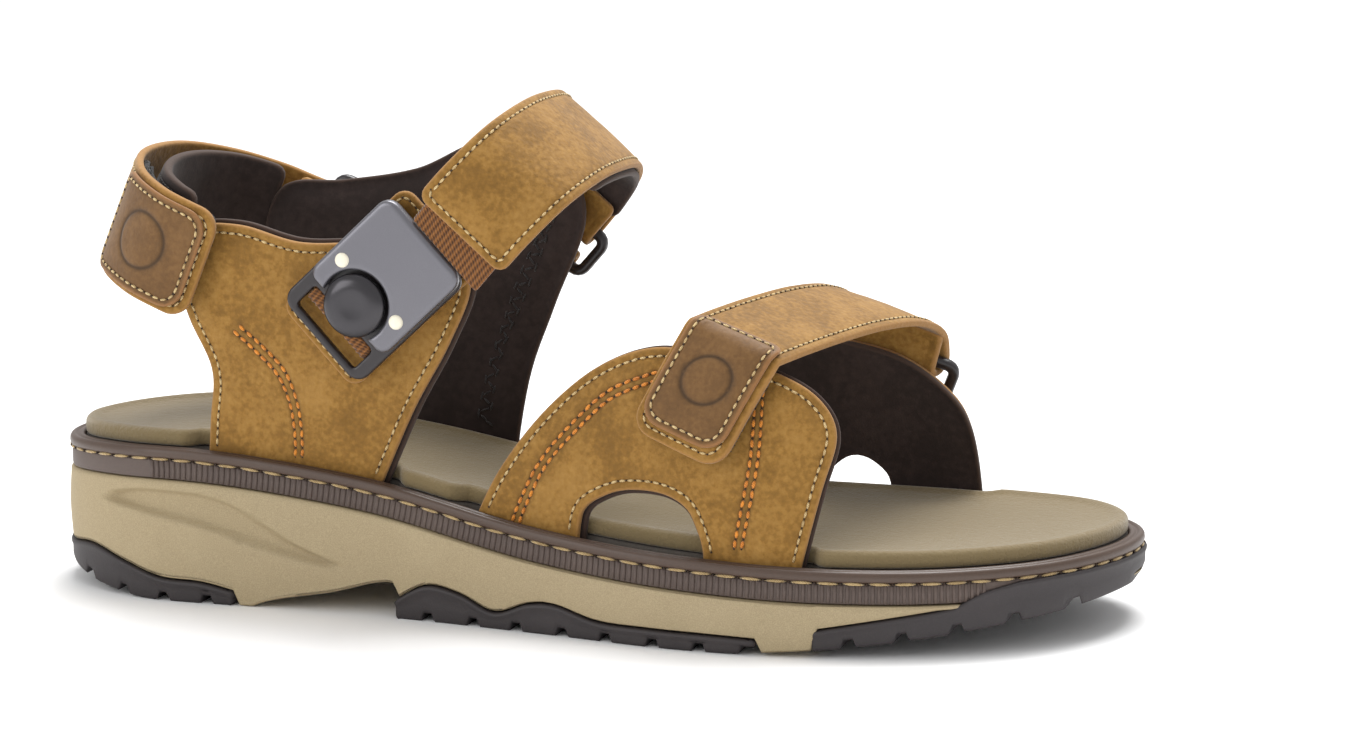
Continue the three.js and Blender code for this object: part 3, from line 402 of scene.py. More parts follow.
@dataclass
class Course:
    """A strap's course. A pattern on it is drawn along the strap and across its width."""

    axes: Axes
    middle: float
    width: float
    path_at: Callable[[float], Points]
    rows: int = 9
    columns: int = 500

    def __post_init__(self) -> None:
        """Tabulates the course at a few places across its width."""
        table = []
        reach = []
        for w in self.middle + np.linspace(-0.5, 0.5, self.rows) * self.width:
            path = self.path_at(w)
            at = lengths_along(path)
            wanted = np.linspace(0, at[-1], self.columns)
            table.append(np.stack([np.interp(wanted, at, path[:, k]) for k in (0, 1)], 1))
            reach.append(at[-1])
        self.table = np.array(table)
        self.length = float(np.mean(reach))
        self.marks = lengths_along(self.path_at(self.middle))
        self.marks *= self.length / self.marks[-1]
        turn = np.gradient(self.table, axis=1)
        turn /= np.linalg.norm(turn, axis=2)[..., None]
        self.left = np.stack([-turn[..., 1], turn[..., 0]], 2)

    def at(self, step: float) -> float:
        """Distance along the course to one of its path's coarse steps."""
        return float(np.interp(step * FINER, np.arange(len(self.marks)), self.marks))

    def nearest(self, place: Points) -> float:
        """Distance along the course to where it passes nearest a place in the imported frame."""
        wanted = np.linspace(0, self.length, 400)
        line = self.lay(np.column_stack([wanted, np.zeros(400)]), 0.0) + SHIFT
        return float(wanted[np.argmin(np.linalg.norm(line - place, axis=1))])

    def lay(self, pattern: Points, lift: Value) -> Points:
        """Places pattern points, lifted off the strap's middle line to its outer side."""
        j = np.clip(pattern[:, 0] / self.length, 0, 1) * (self.columns - 1.001)
        i = np.clip(pattern[:, 1] / self.width + 0.5, 0, 1) * (self.rows - 1.001)
        ji, ii = j.astype(int), i.astype(int)
        jf, i_f = (j - ji)[:, None], (i - ii)[:, None]

        def read(grid: Points) -> Points:
            """Reads a table between its rows and columns."""
            low = grid[ii, ji] * (1 - jf) + grid[ii, ji + 1] * jf
            high = grid[ii + 1, ji] * (1 - jf) + grid[ii + 1, ji + 1] * jf
            return low * (1 - i_f) + high * i_f

        flat = read(self.table) + read(self.left) * np.broadcast_to(lift, j.shape)[:, None]
        return self.axes.point(flat[:, 0], flat[:, 1], self.middle + pattern[:, 1])


@dataclass
class Plate:
    """A flat place with its own axes: u and v in the plane, out away from the foot."""

    middle: Points
    u: Points
    v: Points
    out: Points
    stand: float
    bow: float = 0.0
    half: float = 15.0

    def lay(self, pattern: Points, lift: Value) -> Points:
        """Places pattern points. A bowed plate is thinner towards its sides."""
        rise = np.broadcast_to(lift, pattern[:, 0].shape).astype(float)
        thin = 1 - self.bow * (pattern[:, 1] / self.half) ** 2
        rise = np.where(rise > 0, rise * thin, rise) + self.stand
        flat = pattern[:, :1] * self.u + pattern[:, 1:] * self.v
        return self.middle + flat + rise[:, None] * self.out


Surface = Wall | Course | Plate


# ------------------------------------------------------------------ meshes


def make_object(
    name: str, points: Points, faces: Sequence[Sequence[int]], material: bpy.types.Material,
    edge: Points | None = None, flow: Points | None = None, rounded: bool = True,
) -> bpy.types.Object:
    """Makes an object from points in millimetres.

    Args:
        name: the object's name.
        points: its vertices.
        faces: indices of each face's corners.
        material: its finish.
        edge: each vertex's distance from the cut edge, for finishes that wear there.
        flow: each vertex's place along and across the piece, kept as a UV map.
        rounded: whether its faces are shaded smooth.

    Returns:
        The object, linked to the scene.
    """
    mesh = bpy.data.meshes.new(name)
    mesh.from_pydata(((np.asarray(points) + SHIFT) * MM).tolist(), [], [list(f) for f in faces])
    mesh.validate()
    mesh.materials.append(material)
    if edge is not None:
        mesh.attributes.new("edge", "FLOAT", "POINT").data.foreach_set("value", edge.astype(np.float32))
    if flow is not None:
        corners = np.zeros(len(mesh.loops), np.int32)
        mesh.loops.foreach_get("vertex_index", corners)
        mesh.uv_layers.new(name="flow").data.foreach_set("uv", flow[corners].astype(np.float32).ravel())
    mesh.polygons.foreach_set("use_smooth", np.full(len(mesh.polygons), rounded))
    made = bpy.data.objects.new(name, mesh)
    bpy.context.scene.collection.objects.link(made)
    return made


def settle(
    piece: bpy.types.Object, body: Body | None, slot: str | None, *nodes: str
) -> bpy.types.Object:
    """Makes a piece ride on its body and stand for its CAD nodes."""
    if body:
        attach(piece, body.value)
    if nodes:
        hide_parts(*nodes)
    log.info("%s: %d faces", piece.name, len(piece.data.polygons))
    return piece


def sway(points: Points, size: float, seed: int) -> Points:
    """A gentle unevenness from -1 to 1 over points in space, the same each time."""
    draw = np.random.default_rng(seed)
    total = np.zeros(len(points))
    for _ in range(7):
        wave = draw.normal(size=3)
        wave *= 2 * math.pi / (size * draw.uniform(0.7, 1.6) * np.linalg.norm(wave))
        total += np.sin(points @ wave + draw.uniform(0, 2 * math.pi))
    return total / 4


RINGS = (0.0, 0.12, 0.35, 0.75, 1.3, 1.9, 2.3, 2.6, 2.9, 3.4, 4.2, 5.2)


@dataclass
class Sheet:
    """A piece of leather, lining, tape or plate cut to a pattern and laid on a surface."""

    name: str
    pattern: Points
    surface: Surface
    thickness: float
    stand: float = 0.0  # of its middle from the surface's own
    corner: float = 0.8  # rounding of its cut edge
    swell: float = 0.0  # how far its outer face rises away from its edge
    puff: float = 0.0  # how far its inner face bulges, as a padded lining does
    roll: float = 0.0  # extra thickness along the edge, as a turned binding has
    seams: tuple[float, ...] = ()  # stitch rows that draw the face down, from the edge
    furrows: Sequence[Points] = ()  # stitch rows elsewhere on the pattern
    uneven: float = 0.1
    grid: float = 2.2
    step: float = 1.2
    seed: int = 1
    holes: Sequence[Points] = ()
    ribs: float = 0.0  # pitch of woven ribs across its length

    def cut(self) -> tuple[Points, list[tuple[int, int, int]]]:
        """Cuts the pattern into points and triangles, fine near its edges and seams."""
        loops = [even(self.pattern, self.step, True)]
        loops += [even(hole[::-1], self.step, True) for hole in self.holes]
        points = [*loops]
        for loop in loops:
            for inset in RINGS[1:]:
                moved = sideways(loop, inset, True)
                points.append(moved[self.depth(moved) > inset - 0.04])
        low, high = self.pattern.min(0), self.pattern.max(0)
        xs = np.arange(low[0], high[0], self.grid)
        ys = np.arange(low[1], high[1], self.grid)
        mesh = np.stack(np.meshgrid(xs, ys), -1).reshape(-1, 2)
        mesh[:, 0] += (np.round((mesh[:, 1] - low[1]) / self.grid) % 2) * self.grid / 2
        for line in self.furrows:
            walk = even(line, 1.0)
            mesh = mesh[distance_to(mesh, walk, False) > 2.0]
            for offset in (-1.4, -0.7, -0.35, 0, 0.35, 0.7, 1.4):
                moved = sideways(walk, offset)
                points.append(moved[self.depth(moved) > RINGS[-1]])
        points.append(mesh[self.depth(mesh) > RINGS[-1] + self.grid * 0.4])
        rims = []
        count = 0
        for loop in loops:
            n = len(loop)
            rims += [(count + i, count + (i + 1) % n) for i in range(n)]
            count += n
        flat = np.concatenate(points)
        made = geometry.delaunay_2d_cdt([Vector(p) for p in flat], rims, [], 0, 0.02)
        flat = np.array([v[:] for v in made[0]])
        faces = np.array(made[2])
        kept = self.depth(flat[faces].mean(1)) > 0
        return flat, [tuple(f) for f in faces[kept]]

    def depth(self, points: Points) -> Points:
        """How far points lie inside the pattern's edge; negative outside it."""
        loops = [self.pattern, *self.holes]
        gap = np.min([distance_to(points, loop, True) for loop in loops], axis=0)
        within = inside(points, self.pattern)
        for hole in self.holes:
            within &= ~inside(points, hole)
        return np.where(within, gap, -gap)

    def build(self, material: bpy.types.Material) -> bpy.types.Object:
        """Lays the cut pattern on its surface, with its thickness, as one closed piece."""
        flat, faces = self.cut()
        deep = np.maximum(self.depth(flat), 0)
        half = self.thickness / 2
        round_off = 1 - np.minimum(deep / self.corner, 1)
        body = half * (0.4 + 0.6 * np.sqrt(1 - round_off**2))
        middle = self.surface.lay(flat, self.stand)
        rise = ease(deep / 6) * self.uneven * sway(middle, 16, self.seed)
        rise += ease(deep / 3) * self.uneven * 0.3 * sway(middle, 5, self.seed + 7)
        top = body + self.swell * ease(deep / 9) + rise
        for seam in self.seams:
            top -= SEAM_DEPTH * np.exp(-(((deep - seam) / SEAM_WIDTH) ** 2))
        pressed = np.zeros(len(flat))
        for line in self.furrows:
            groove = np.exp(-((distance_to(flat, line, False) / FURROW_WIDTH) ** 2))
            top -= FURROW_DEPTH * groove
            pressed = np.maximum(pressed, groove)
        if self.ribs:
            top += RIB_HEIGHT * np.sin(flat[:, 1] * 2 * math.pi / self.ribs)
        bead = self.roll * np.exp(-(((deep - self.roll) / (self.roll + 0.4)) ** 2)) if self.roll else 0
        low = -body - self.puff * ease(deep / 8) - bead - rise
        points = np.vstack([
            self.surface.lay(flat, self.stand + top), self.surface.lay(flat, self.stand + low)])
        n = len(flat)
        used = {}
        for a, b, c in faces:
            for pair in ((a, b), (b, c), (c, a)):
                used[pair] = True
        rim = [pair for pair in used if (pair[1], pair[0]) not in used]
        shell = [*faces, *[(c + n, b + n, a + n) for a, b, c in faces]]
        shell += [(b, a, a + n, b + n) for a, b in rim]
        if self.faces_in(points, faces):
            shell = [face[::-1] for face in shell]
        made = make_object(
            self.name, points, shell, material, np.tile(deep, 2), np.tile(flat, (2, 1)))
        if self.furrows:
            layer = made.data.attributes.new("pressed", "FLOAT", "POINT")
            layer.data.foreach_set("value", np.append(pressed, 0 * pressed).astype(np.float32))
        return made

    def faces_in(self, points: Points, faces: Sequence[tuple[int, int, int]]) -> bool:
        """Whether the upper faces, as cut, point to the lower ones."""
        n = len(points) // 2
        votes = 0.0
        for a, b, c in faces[:: max(len(faces) // 200, 1)]:
            normal = np.cross(points[b] - points[a], points[c] - points[a])
            votes += normal @ (points[a] - points[a + n])
        return votes < 0

    def row(self, inset: float, keep: Callable[[Points], np.ndarray] | None = None) -> list[Points]:
        """Stitch lines that follow the edge.

        Args:
            inset: distance from the edge.
            keep: says which pattern points the row passes; None for all.

        Returns:
            Lines in space, on the piece's outer face.
        """
        loop = even(self.pattern, 1.0, True)
        moved = sideways(loop, inset, True)
        good = self.depth(moved) > inset - 0.12
        if keep is not None:
            good &= keep(moved)
        start = int(np.argmin(good)) if not good.all() else 0
        moved, good = np.roll(moved, -start, 0), np.roll(good, -start)
        if good.all():
            moved, good = np.vstack([moved, moved[:1]]), np.append(good, True)
        lines = []
        run = []
        for point, use in zip(moved, good):
            if use:
                run.append(point)
            elif len(run) > 1 and not keep_close(run, point, inset):
                lines.append(run)
                run = []
        if len(run) > 4:
            lines.append(run)
        return [self.on_top(np.array(line)) for line in lines if len(line) > 4]

    def across(self, at: float, inset: float) -> Points:
        """A stitch line across the piece, at a distance along it."""
        half = np.abs(self.pattern[:, 1]).max() - inset
        return self.on_top(np.column_stack([np.full(20, at), np.linspace(-half, half, 20)]))

    def on_top(self, pattern: Points, lift: float = 0.0) -> Points:
        """Places pattern points on the outer face of the piece."""
        return self.surface.lay(pattern, self.stand + self.thickness / 2 + lift)

    def beneath(self, pattern: Points) -> Points:
        """Places pattern points on the inner face of the piece."""
        sunk = self.thickness / 2 + self.puff * ease(self.depth(pattern) / 8) + 0.1
        return self.surface.lay(pattern, self.stand - sunk)


def keep_close(run: list[Points], point: Points, reach: float) -> bool:
    """Whether a dropped point is still beside the run, as it is at a tight corner."""
    return float(np.linalg.norm(run[-1] - point)) < reach


def zip_caps(ring: Points) -> list[tuple[int, int, int]]:
    """Triangles that close an outline that runs once along X and back.

    Args:
        ring: the outline, counter-clockwise.

    Returns:
        Triangles of its indices, facing up.
    """
    n = len(ring)
    start, end = int(np.argmin(ring[:, 0])), int(np.argmax(ring[:, 0]))
    near = [(start + k) % n for k in range((end - start) % n + 1)]
    far = [(start - k) % n for k in range((start - end) % n + 1)]
    faces = []
    i = j = 0
    while i < len(near) - 1 or j < len(far) - 1:
        step_near = j >= len(far) - 1 or (
            i < len(near) - 1 and ring[near[i + 1], 0] <= ring[far[j + 1], 0])
        if step_near:
            corners = (near[i], near[i + 1], far[j])
            i += 1
        else:
            corners = (near[i], far[j + 1], far[j])
            j += 1
        if len(set(corners)) == 3:
            faces.append(corners)
    return faces


Level = tuple[Value, Callable[[Points], Points]]


def loft(ring: Points, levels: Sequence[Level], hollow: bool = False) -> tuple[Points, list]:
    """Joins the outline, drawn in by varying distances, through varying heights.

    Args:
        ring: the outline, counter-clockwise.
        levels: pairs of how far in and how high, from the bottom outwards and up.
        hollow: whether the levels close on themselves, as a rim's do.

    Returns:
        Vertices and faces of a closed solid, faces outwards.
    """
    n = len(ring)
    layers = []
    for inset, height in levels:
        flat = sideways(ring, np.broadcast_to(inset, n).astype(float), True)
        layers.append(np.column_stack([flat, height(flat[:, 0])]))
    faces = []
    count = len(layers)
    for k in range(count if hollow else count - 1):
        low, high = k * n, ((k + 1) % count) * n
        for i in range(n):
            j = (i + 1) % n
            faces.append((low + i, low + j, high + j, high + i))
    if not hollow:
        cap = zip_caps(ring)
        top = (count - 1) * n
        faces += [(c, b, a) for a, b, c in cap]
        faces += [(a + top, b + top, c + top) for a, b, c in cap]
    return np.vstack(layers), faces


def sweep(path: Points, ups: Points, section: Points, closed: bool) -> tuple[Points, list]:
    """Draws a section along a path.

    Args:
        path: the path's points in space.
        ups: at each point, the direction that the section's second axis keeps to.
        section: the closed section, counter-clockwise, sideways and up.
        closed: whether the path closes on itself.

    Returns:
        Vertices and faces.
    """
    ahead = np.roll(path, -1, 0) - np.roll(path, 1, 0)
    if not closed:
        ahead[0], ahead[-1] = path[1] - path[0], path[-1] - path[-2]
    ahead /= np.linalg.norm(ahead, axis=1)[:, None]
    side = np.cross(ahead, ups)
    side /= np.linalg.norm(side, axis=1)[:, None]
    up = np.cross(side, ahead)
    n, m = len(path), len(section)
    points = (path[:, None] + side[:, None] * section[None, :, :1] + up[:, None] * section[None, :, 1:])
    faces = []
    for i in range(n if closed else n - 1):
        for j in range(m):
            a, b = i * m + j, i * m + (j + 1) % m
            c, d = ((i + 1) % n) * m + (j + 1) % m, ((i + 1) % n) * m + j
            faces.append((a, d, c, b))
    if not closed:
        faces.append(tuple(range(m)))
        faces.append(tuple(range((n - 1) * m, n * m))[::-1])
    return points.reshape(-1, 3), faces


def turned(profile: Points, steps: int) -> tuple[Points, list]:
    """Turns a profile of (radius, height) pairs, both ends on the axis, about the Z axis."""
    ends = profile[[0, -1]]
    inner = profile[1:-1]
    a = np.linspace(0, 2 * math.pi, steps, endpoint=False)
    rings = [np.column_stack([r * np.cos(a), r * np.sin(a), np.full(steps, z)]) for r, z in inner]
    points = np.vstack([*rings, [[0, 0, ends[0, 1]], [0, 0, ends[1, 1]]]])
    low, high = len(points) - 2, len(points) - 1
    faces = []
    for k in range(len(inner) - 1):
        for i in range(steps):
            j = (i + 1) % steps
            faces.append((k * steps + i, k * steps + j, (k + 1) * steps + j, (k + 1) * steps + i))
    last = (len(inner) - 1) * steps
    for i in range(steps):
        j = (i + 1) % steps
        faces.append((low, j, i))
        faces.append((last + i, last + j, high))
    return points, faces


# ------------------------------------------------------------------ geometry nodes


class Nodes:
    """A node tree being built, for a material, a shared group or a modifier."""

    def __init__(self, tree: bpy.types.NodeTree) -> None:
        """Starts on a tree."""
        self.tree = tree

    def add(self, kind: str, values: dict | None = None, **settings: object) -> bpy.types.Node:
        """Adds a node.

        Args:
            kind: the node's type.
            values: input name or index to a value, or to a socket that is linked to it.
            settings: properties of the node.

        Returns:
            The node.
        """
        node = self.tree.nodes.new(kind)
        for key, value in settings.items():
            setattr(node, key, value)
        for key, value in (values or {}).items():
            if isinstance(value, bpy.types.NodeSocket):
                self.tree.links.new(value, node.inputs[key])
            else:
                node.inputs[key].default_value = value
        return node

    def math(self, operation: str, a: object, b: object = 0.0) -> bpy.types.NodeSocket:
        """Combines two numbers."""
        return self.add("ShaderNodeMath", {0: a, 1: b}, operation=operation).outputs[0]

    def blend(self, share: object, a: object, b: object) -> bpy.types.NodeSocket:
        """Mixes two colours."""
        return self.add("ShaderNodeMix", {0: share, 6: a, 7: b}, data_type="RGBA").outputs[2]

    def span(
        self, value: object, low: float, high: float, to: tuple[float, float] = (0.0, 1.0)
    ) -> bpy.types.NodeSocket:
        """Maps a range of a number to another range, and no further."""
        values = {"Value": value, "From Min": low, "From Max": high, "To Min": to[0], "To Max": to[1]}
        return self.add("ShaderNodeMapRange", values).outputs[0]

    def noise(self, vector: object, scale: object, detail: float = 2.0) -> bpy.types.NodeSocket:
        """Soft noise from 0 to 1."""
        values = {"Vector": vector, "Scale": scale, "Detail": detail}
        return self.add("ShaderNodeTexNoise", values).outputs[0]

    def scaled(self, vector: object, by: object) -> bpy.types.NodeSocket:
        """Multiplies a vector by a number."""
        return self.add("ShaderNodeVectorMath", {0: vector, "Scale": by}, operation="SCALE").outputs[0]

    def shaken(self, way: object, low: object, high: object, seed: object) -> bpy.types.NodeSocket:
        """Turns a direction a little, at random for each point."""
        values = {"Min": low, "Max": high, "Seed": seed}
        shake = self.add("FunctionNodeRandomValue", values, data_type="FLOAT_VECTOR").outputs[0]
        return self.add("ShaderNodeVectorMath", {0: way, 1: shake}, operation="ADD").outputs[0]

    def aimed(self, way: object, axis: str) -> bpy.types.NodeSocket:
        """The turn that lays an axis along a direction."""
        return self.add("FunctionNodeAlignRotationToVector", {"Vector": way}, axis=axis).outputs[0]


class Repeat(Enum):
    """What a row repeats along its path."""

    STITCH = "stitch"
    RIB = "rib"


def row_tree(kind: Repeat) -> bpy.types.NodeTree:
    """Geometry nodes that lay one shape at even steps along lines.

    Args:
        kind: the shape to repeat.

    Returns:
        The tree, made once for each shape.
    """
    name = f"row of {kind.value}"
    if name in bpy.data.node_groups:
        return bpy.data.node_groups[name]
    tree = bpy.data.node_groups.new(name, "GeometryNodeTree")
    sockets = (
        ("Lines", "INPUT", "NodeSocketGeometry"), ("Pitch", "INPUT", "NodeSocketFloat"),
        ("Offset", "INPUT", "NodeSocketFloat"), ("Size", "INPUT", "NodeSocketVector"),
        ("Jitter", "INPUT", "NodeSocketFloat"), ("Seed", "INPUT", "NodeSocketInt"),
        ("Finish", "INPUT", "NodeSocketMaterial"), ("Row", "OUTPUT", "NodeSocketGeometry"))
    for label, way, socket in sockets:
        tree.interface.new_socket(label, in_out=way, socket_type=socket)
    n = Nodes(tree)
    given = n.add("NodeGroupInput").outputs
    curve = n.add("GeometryNodeMeshToCurve", {"Mesh": given["Lines"]}).outputs[0]
    steps = {"Curve": curve, "Length": given["Pitch"]}
    even_curve = n.add("GeometryNodeResampleCurve", steps, mode="LENGTH").outputs[0]
    tangent = n.add("GeometryNodeInputTangent").outputs[0]
    slip = n.scaled(tangent, given["Offset"])
    moved = n.add("GeometryNodeSetPosition", {"Geometry": even_curve, "Offset": slip})
    low = n.scaled((1, 1, 1), n.math("MULTIPLY", given["Jitter"], -1.0))
    high = n.scaled((1, 1, 1), given["Jitter"])
    turn = n.aimed(n.shaken(tangent, low, high, given["Seed"]), "X")
    if kind is Repeat.STITCH:
        shape = n.add("GeometryNodeMeshUVSphere", {"Segments": 6, "Rings": 4, "Radius": 1.0})
    else:
        shape = n.add("GeometryNodeMeshCylinder", {"Vertices": 8, "Radius": 1.0, "Depth": 1.0})
    laid = n.add("GeometryNodeInstanceOnPoints", {
        "Points": moved.outputs[0], "Instance": shape.outputs[0], "Rotation": turn, "Scale": given["Size"]})
    smooth = n.add("GeometryNodeSetShadeSmooth", {0: laid.outputs[0]})
    real = n.add("GeometryNodeRealizeInstances", {0: smooth.outputs[0]})
    dressed = n.add("GeometryNodeSetMaterial", {"Geometry": real.outputs[0], "Material": given["Finish"]})
    n.add("NodeGroupOutput", {"Row": dressed.outputs[0]})
    return tree


def bristle_tree() -> bpy.types.NodeTree:
    """Geometry nodes that scatter short bristles over a surface."""
    tree = bpy.data.node_groups.new("bristles", "GeometryNodeTree")
    sockets = (
        ("Surface", "INPUT", "NodeSocketGeometry"), ("Density", "INPUT", "NodeSocketFloat"),
        ("Length", "INPUT", "NodeSocketFloat"), ("Thickness", "INPUT", "NodeSocketFloat"),
        ("Seed", "INPUT", "NodeSocketInt"), ("Finish", "INPUT", "NodeSocketMaterial"),
        ("Bristles", "OUTPUT", "NodeSocketGeometry"))
    for label, way, socket in sockets:
        tree.interface.new_socket(label, in_out=way, socket_type=socket)
    n = Nodes(tree)
    given = n.add("NodeGroupInput").outputs
    spread = n.add("GeometryNodeDistributePointsOnFaces", {
        "Mesh": given["Surface"], "Density": given["Density"], "Seed": given["Seed"]})
    lean = 0.9
    aim = n.shaken(spread.outputs["Normal"], (-lean,) * 3, (lean,) * 3, given["Seed"])
    turn = n.aimed(aim, "Z")
    cone = n.add("GeometryNodeMeshCone", {
        "Vertices": 3, "Radius Top": 0.0, "Radius Bottom": given["Thickness"], "Depth": given["Length"]})
    laid = n.add("GeometryNodeInstanceOnPoints", {
        "Points": spread.outputs[0], "Instance": cone.outputs[0], "Rotation": turn})
    real = n.add("GeometryNodeRealizeInstances", {0: laid.outputs[0]})
    dressed = n.add("GeometryNodeSetMaterial", {"Geometry": real.outputs[0], "Material": given["Finish"]})
    n.add("NodeGroupOutput", {"Bristles": dressed.outputs[0]})
    return tree


def grow(base: bpy.types.Object, name: str, tree: bpy.types.NodeTree, inputs: dict) -> bpy.types.Object:
    """Runs a node tree on an object and keeps the result as a plain mesh.

    Args:
        base: the object that the tree reads.
        name: the result's name.
        tree: the geometry nodes.
        inputs: input name to value.

    Returns:
        A new object; the base is left without the modifier.
    """
    modifier = base.modifiers.new("grow", "NODES")
    modifier.node_group = tree
    for item in tree.interface.items_tree:
        if item.in_out == "INPUT" and item.name in inputs:
            modifier[item.identifier] = inputs[item.name]
    evaluated = base.evaluated_get(bpy.context.evaluated_depsgraph_get())
    mesh = bpy.data.meshes.new_from_object(evaluated)
    base.modifiers.remove(modifier)
    made = bpy.data.objects.new(name, mesh)
    bpy.context.scene.collection.objects.link(made)
    return made


def line_object(name: str, lines: Sequence[Points]) -> bpy.types.Object:
    """Makes an object of bare lines, in millimetres, for a node tree to read."""
    edges = []
    start = 0
    for line in lines:
        edges += [(start + i, start + i + 1) for i in range(len(line) - 1)]
        start += len(line)
    mesh = bpy.data.meshes.new(name)
    mesh.from_pydata(((np.vstack(lines) + SHIFT) * MM).tolist(), edges, [])
    base = bpy.data.objects.new(name, mesh)
    bpy.context.scene.collection.objects.link(base)
    return base


@dataclass(frozen=True)
class Thread:
    """A kind of stitch row, in millimetres."""

    pitch: float
    length: float
    radius: float
    # hole: radius of the dark dot of painted shade at each needle hole
    hole: float
    finish: str
    jitter: float = 0.1
    hole_shade_finish: str = "painted needle hole shade"


FINE = Thread(2.35, 1.95, 0.34, 0.27, "cream thread")
DECORATIVE = Thread(2.5, 2.3, 0.5, 0.28, "orange thread", jitter=0.16)
WELTED = Thread(6.6, 5.9, 0.42, 0.35, "welt thread", jitter=0.05)
ZIGZAG = Thread(2.1, 2.7, 0.32, 0.1, "dark thread", hole_shade_finish="dark thread")
BLACK = Thread(1.9, 1.9, 0.26, 0.2, "dark thread")


def sew(
    name: str, lines: Sequence[Points], thread: Thread, finishes: "Finishes", body: Body | None,
    seed: int,
) -> list[bpy.types.Object]:
    """Sews rows of stitches, and dark dots of painted shade at the needle holes between them.

    Args:
        name: name of the stitches.
        lines: the rows, on the leather's face.
        thread: the kind of stitch.
        finishes: every finish.
        body: the body that the stitches ride on; None where they lie across two bodies and ride on neither.
        seed: seed of the stitches' unevenness.

    Returns:
        The stitches and the dots of painted needle-hole shade.
    """
    base = line_object(name + "_lines", lines)
    tree = row_tree(Repeat.STITCH)
    shared = {"Pitch": thread.pitch * MM, "Seed": seed}
    size = (thread.length / 2 * MM, thread.radius * MM, thread.radius * MM)
    stitches = grow(base, name, tree, {
        **shared, "Size": size, "Offset": 0.0, "Jitter": thread.jitter,
        "Finish": finishes[thread.finish]})
    # Dark dots between the stitches: painted shade in the needle holes.
    dot = (thread.hole * MM, thread.hole * MM, thread.hole * MM)
    holes = grow(base, name + "_holes", tree, {
        **shared, "Size": dot, "Offset": thread.pitch / 2 * MM, "Jitter": 0.0,
        "Finish": finishes[thread.hole_shade_finish]})
    bpy.data.objects.remove(base)
    for piece in (stitches, holes):
        settle(piece, body, None)
    return [stitches, holes]


# ------------------------------------------------------------------ finishes


def tone(red: int, green: int, blue: int) -> tuple[float, float, float, float]:
    """A display colour from 0 to 255 as the linear colour that shaders take."""
    def linear(value: float) -> float:
        """Undoes the display's curve for one channel."""
        return value / 12.92 if value <= 0.04045 else ((value + 0.055) / 1.055) ** 2.4
    return (*(linear(c / 255) for c in (red, green, blue)), 1.0)


def shared_group(
    name: str, inputs: Sequence[tuple[str, str]], outputs: Sequence[tuple[str, str]],
    draw: Callable[[Nodes, bpy.types.bpy_prop_collection], dict],
) -> bpy.types.NodeTree:
    """Makes a shader node group once.

    Args:
        name: the group's name.
        inputs: names and socket types of its inputs.
        outputs: names and socket types of its outputs.
        draw: builds its nodes and returns output name to socket.

    Returns:
        The group.
    """
    if name in bpy.data.node_groups:
        return bpy.data.node_groups[name]
    tree = bpy.data.node_groups.new(name, "ShaderNodeTree")
    for way, sockets in (("INPUT", inputs), ("OUTPUT", outputs)):
        for label, kind in sockets:
            tree.interface.new_socket(label, in_out=way, socket_type="NodeSocket" + kind)
    n = Nodes(tree)
    results = draw(n, n.add("NodeGroupInput").outputs)
    n.add("NodeGroupOutput", results)
    return tree


def grain_group() -> bpy.types.NodeTree:
    """Pebbled grain: cells of a given size, broken by finer pores."""
    def draw(n: Nodes, given: bpy.types.bpy_prop_collection) -> dict:
        """Builds the nodes."""
        scale = n.math("DIVIDE", 1000.0, given["Size"])
        broken = {"Vector": given["Vector"], "Scale": n.math("MULTIPLY", scale, 0.6)}
        warp = n.add("ShaderNodeTexNoise", broken).outputs["Color"]
        shares = {0: 0.0016, 4: given["Vector"], 5: warp}
        bent = n.add("ShaderNodeMix", shares, data_type="VECTOR").outputs[1]
        cell = {"Vector": bent, "Scale": scale}
        cells = n.add("ShaderNodeTexVoronoi", cell, feature="SMOOTH_F1").outputs[0]
        pores = n.noise(given["Vector"], n.math("MULTIPLY", scale, 3.2), 3.0)
        broad = n.noise(given["Vector"], n.math("MULTIPLY", scale, 0.28), 3.0)
        mixed = n.math("ADD", n.math("MULTIPLY", cells, -0.55), n.math("MULTIPLY", pores, 0.35))
        return {"Height": n.math("ADD", mixed, n.math("MULTIPLY", broad, 0.7)), "Pores": pores}
    return shared_group(
        "grain", (("Vector", "Vector"), ("Size", "Float")), (("Height", "Float"), ("Pores", "Float")), draw)


def mottle_group() -> bpy.types.NodeTree:
    """Colour that drifts between a dark and a light tone, as a nap brushed both ways does."""
    def draw(n: Nodes, given: bpy.types.bpy_prop_collection) -> dict:
        """Builds the nodes."""
        scale = n.math("DIVIDE", 1000.0, given["Size"])
        broad = n.noise(given["Vector"], scale, 4.0)
        fine = n.noise(given["Vector"], n.math("MULTIPLY", scale, 9.0), 3.0)
        both = n.math("ADD", n.math("MULTIPLY", broad, 0.55), n.math("MULTIPLY", fine, 0.45))
        dark = n.span(both, 0.38, 0.52, (1.0, 0.0))
        light = n.span(both, 0.48, 0.64)
        shaded = n.blend(n.math("MULTIPLY", dark, given["Depth"]), given["Base"], given["Dark"])
        return {"Color": n.blend(n.math("MULTIPLY", light, given["Depth"]), shaded, given["Light"])}
    inputs = (
        ("Vector", "Vector"), ("Size", "Float"), ("Base", "Color"), ("Dark", "Color"),
        ("Light", "Color"), ("Depth", "Float"))
    return shared_group("mottle", inputs, (("Color", "Color"),), draw)


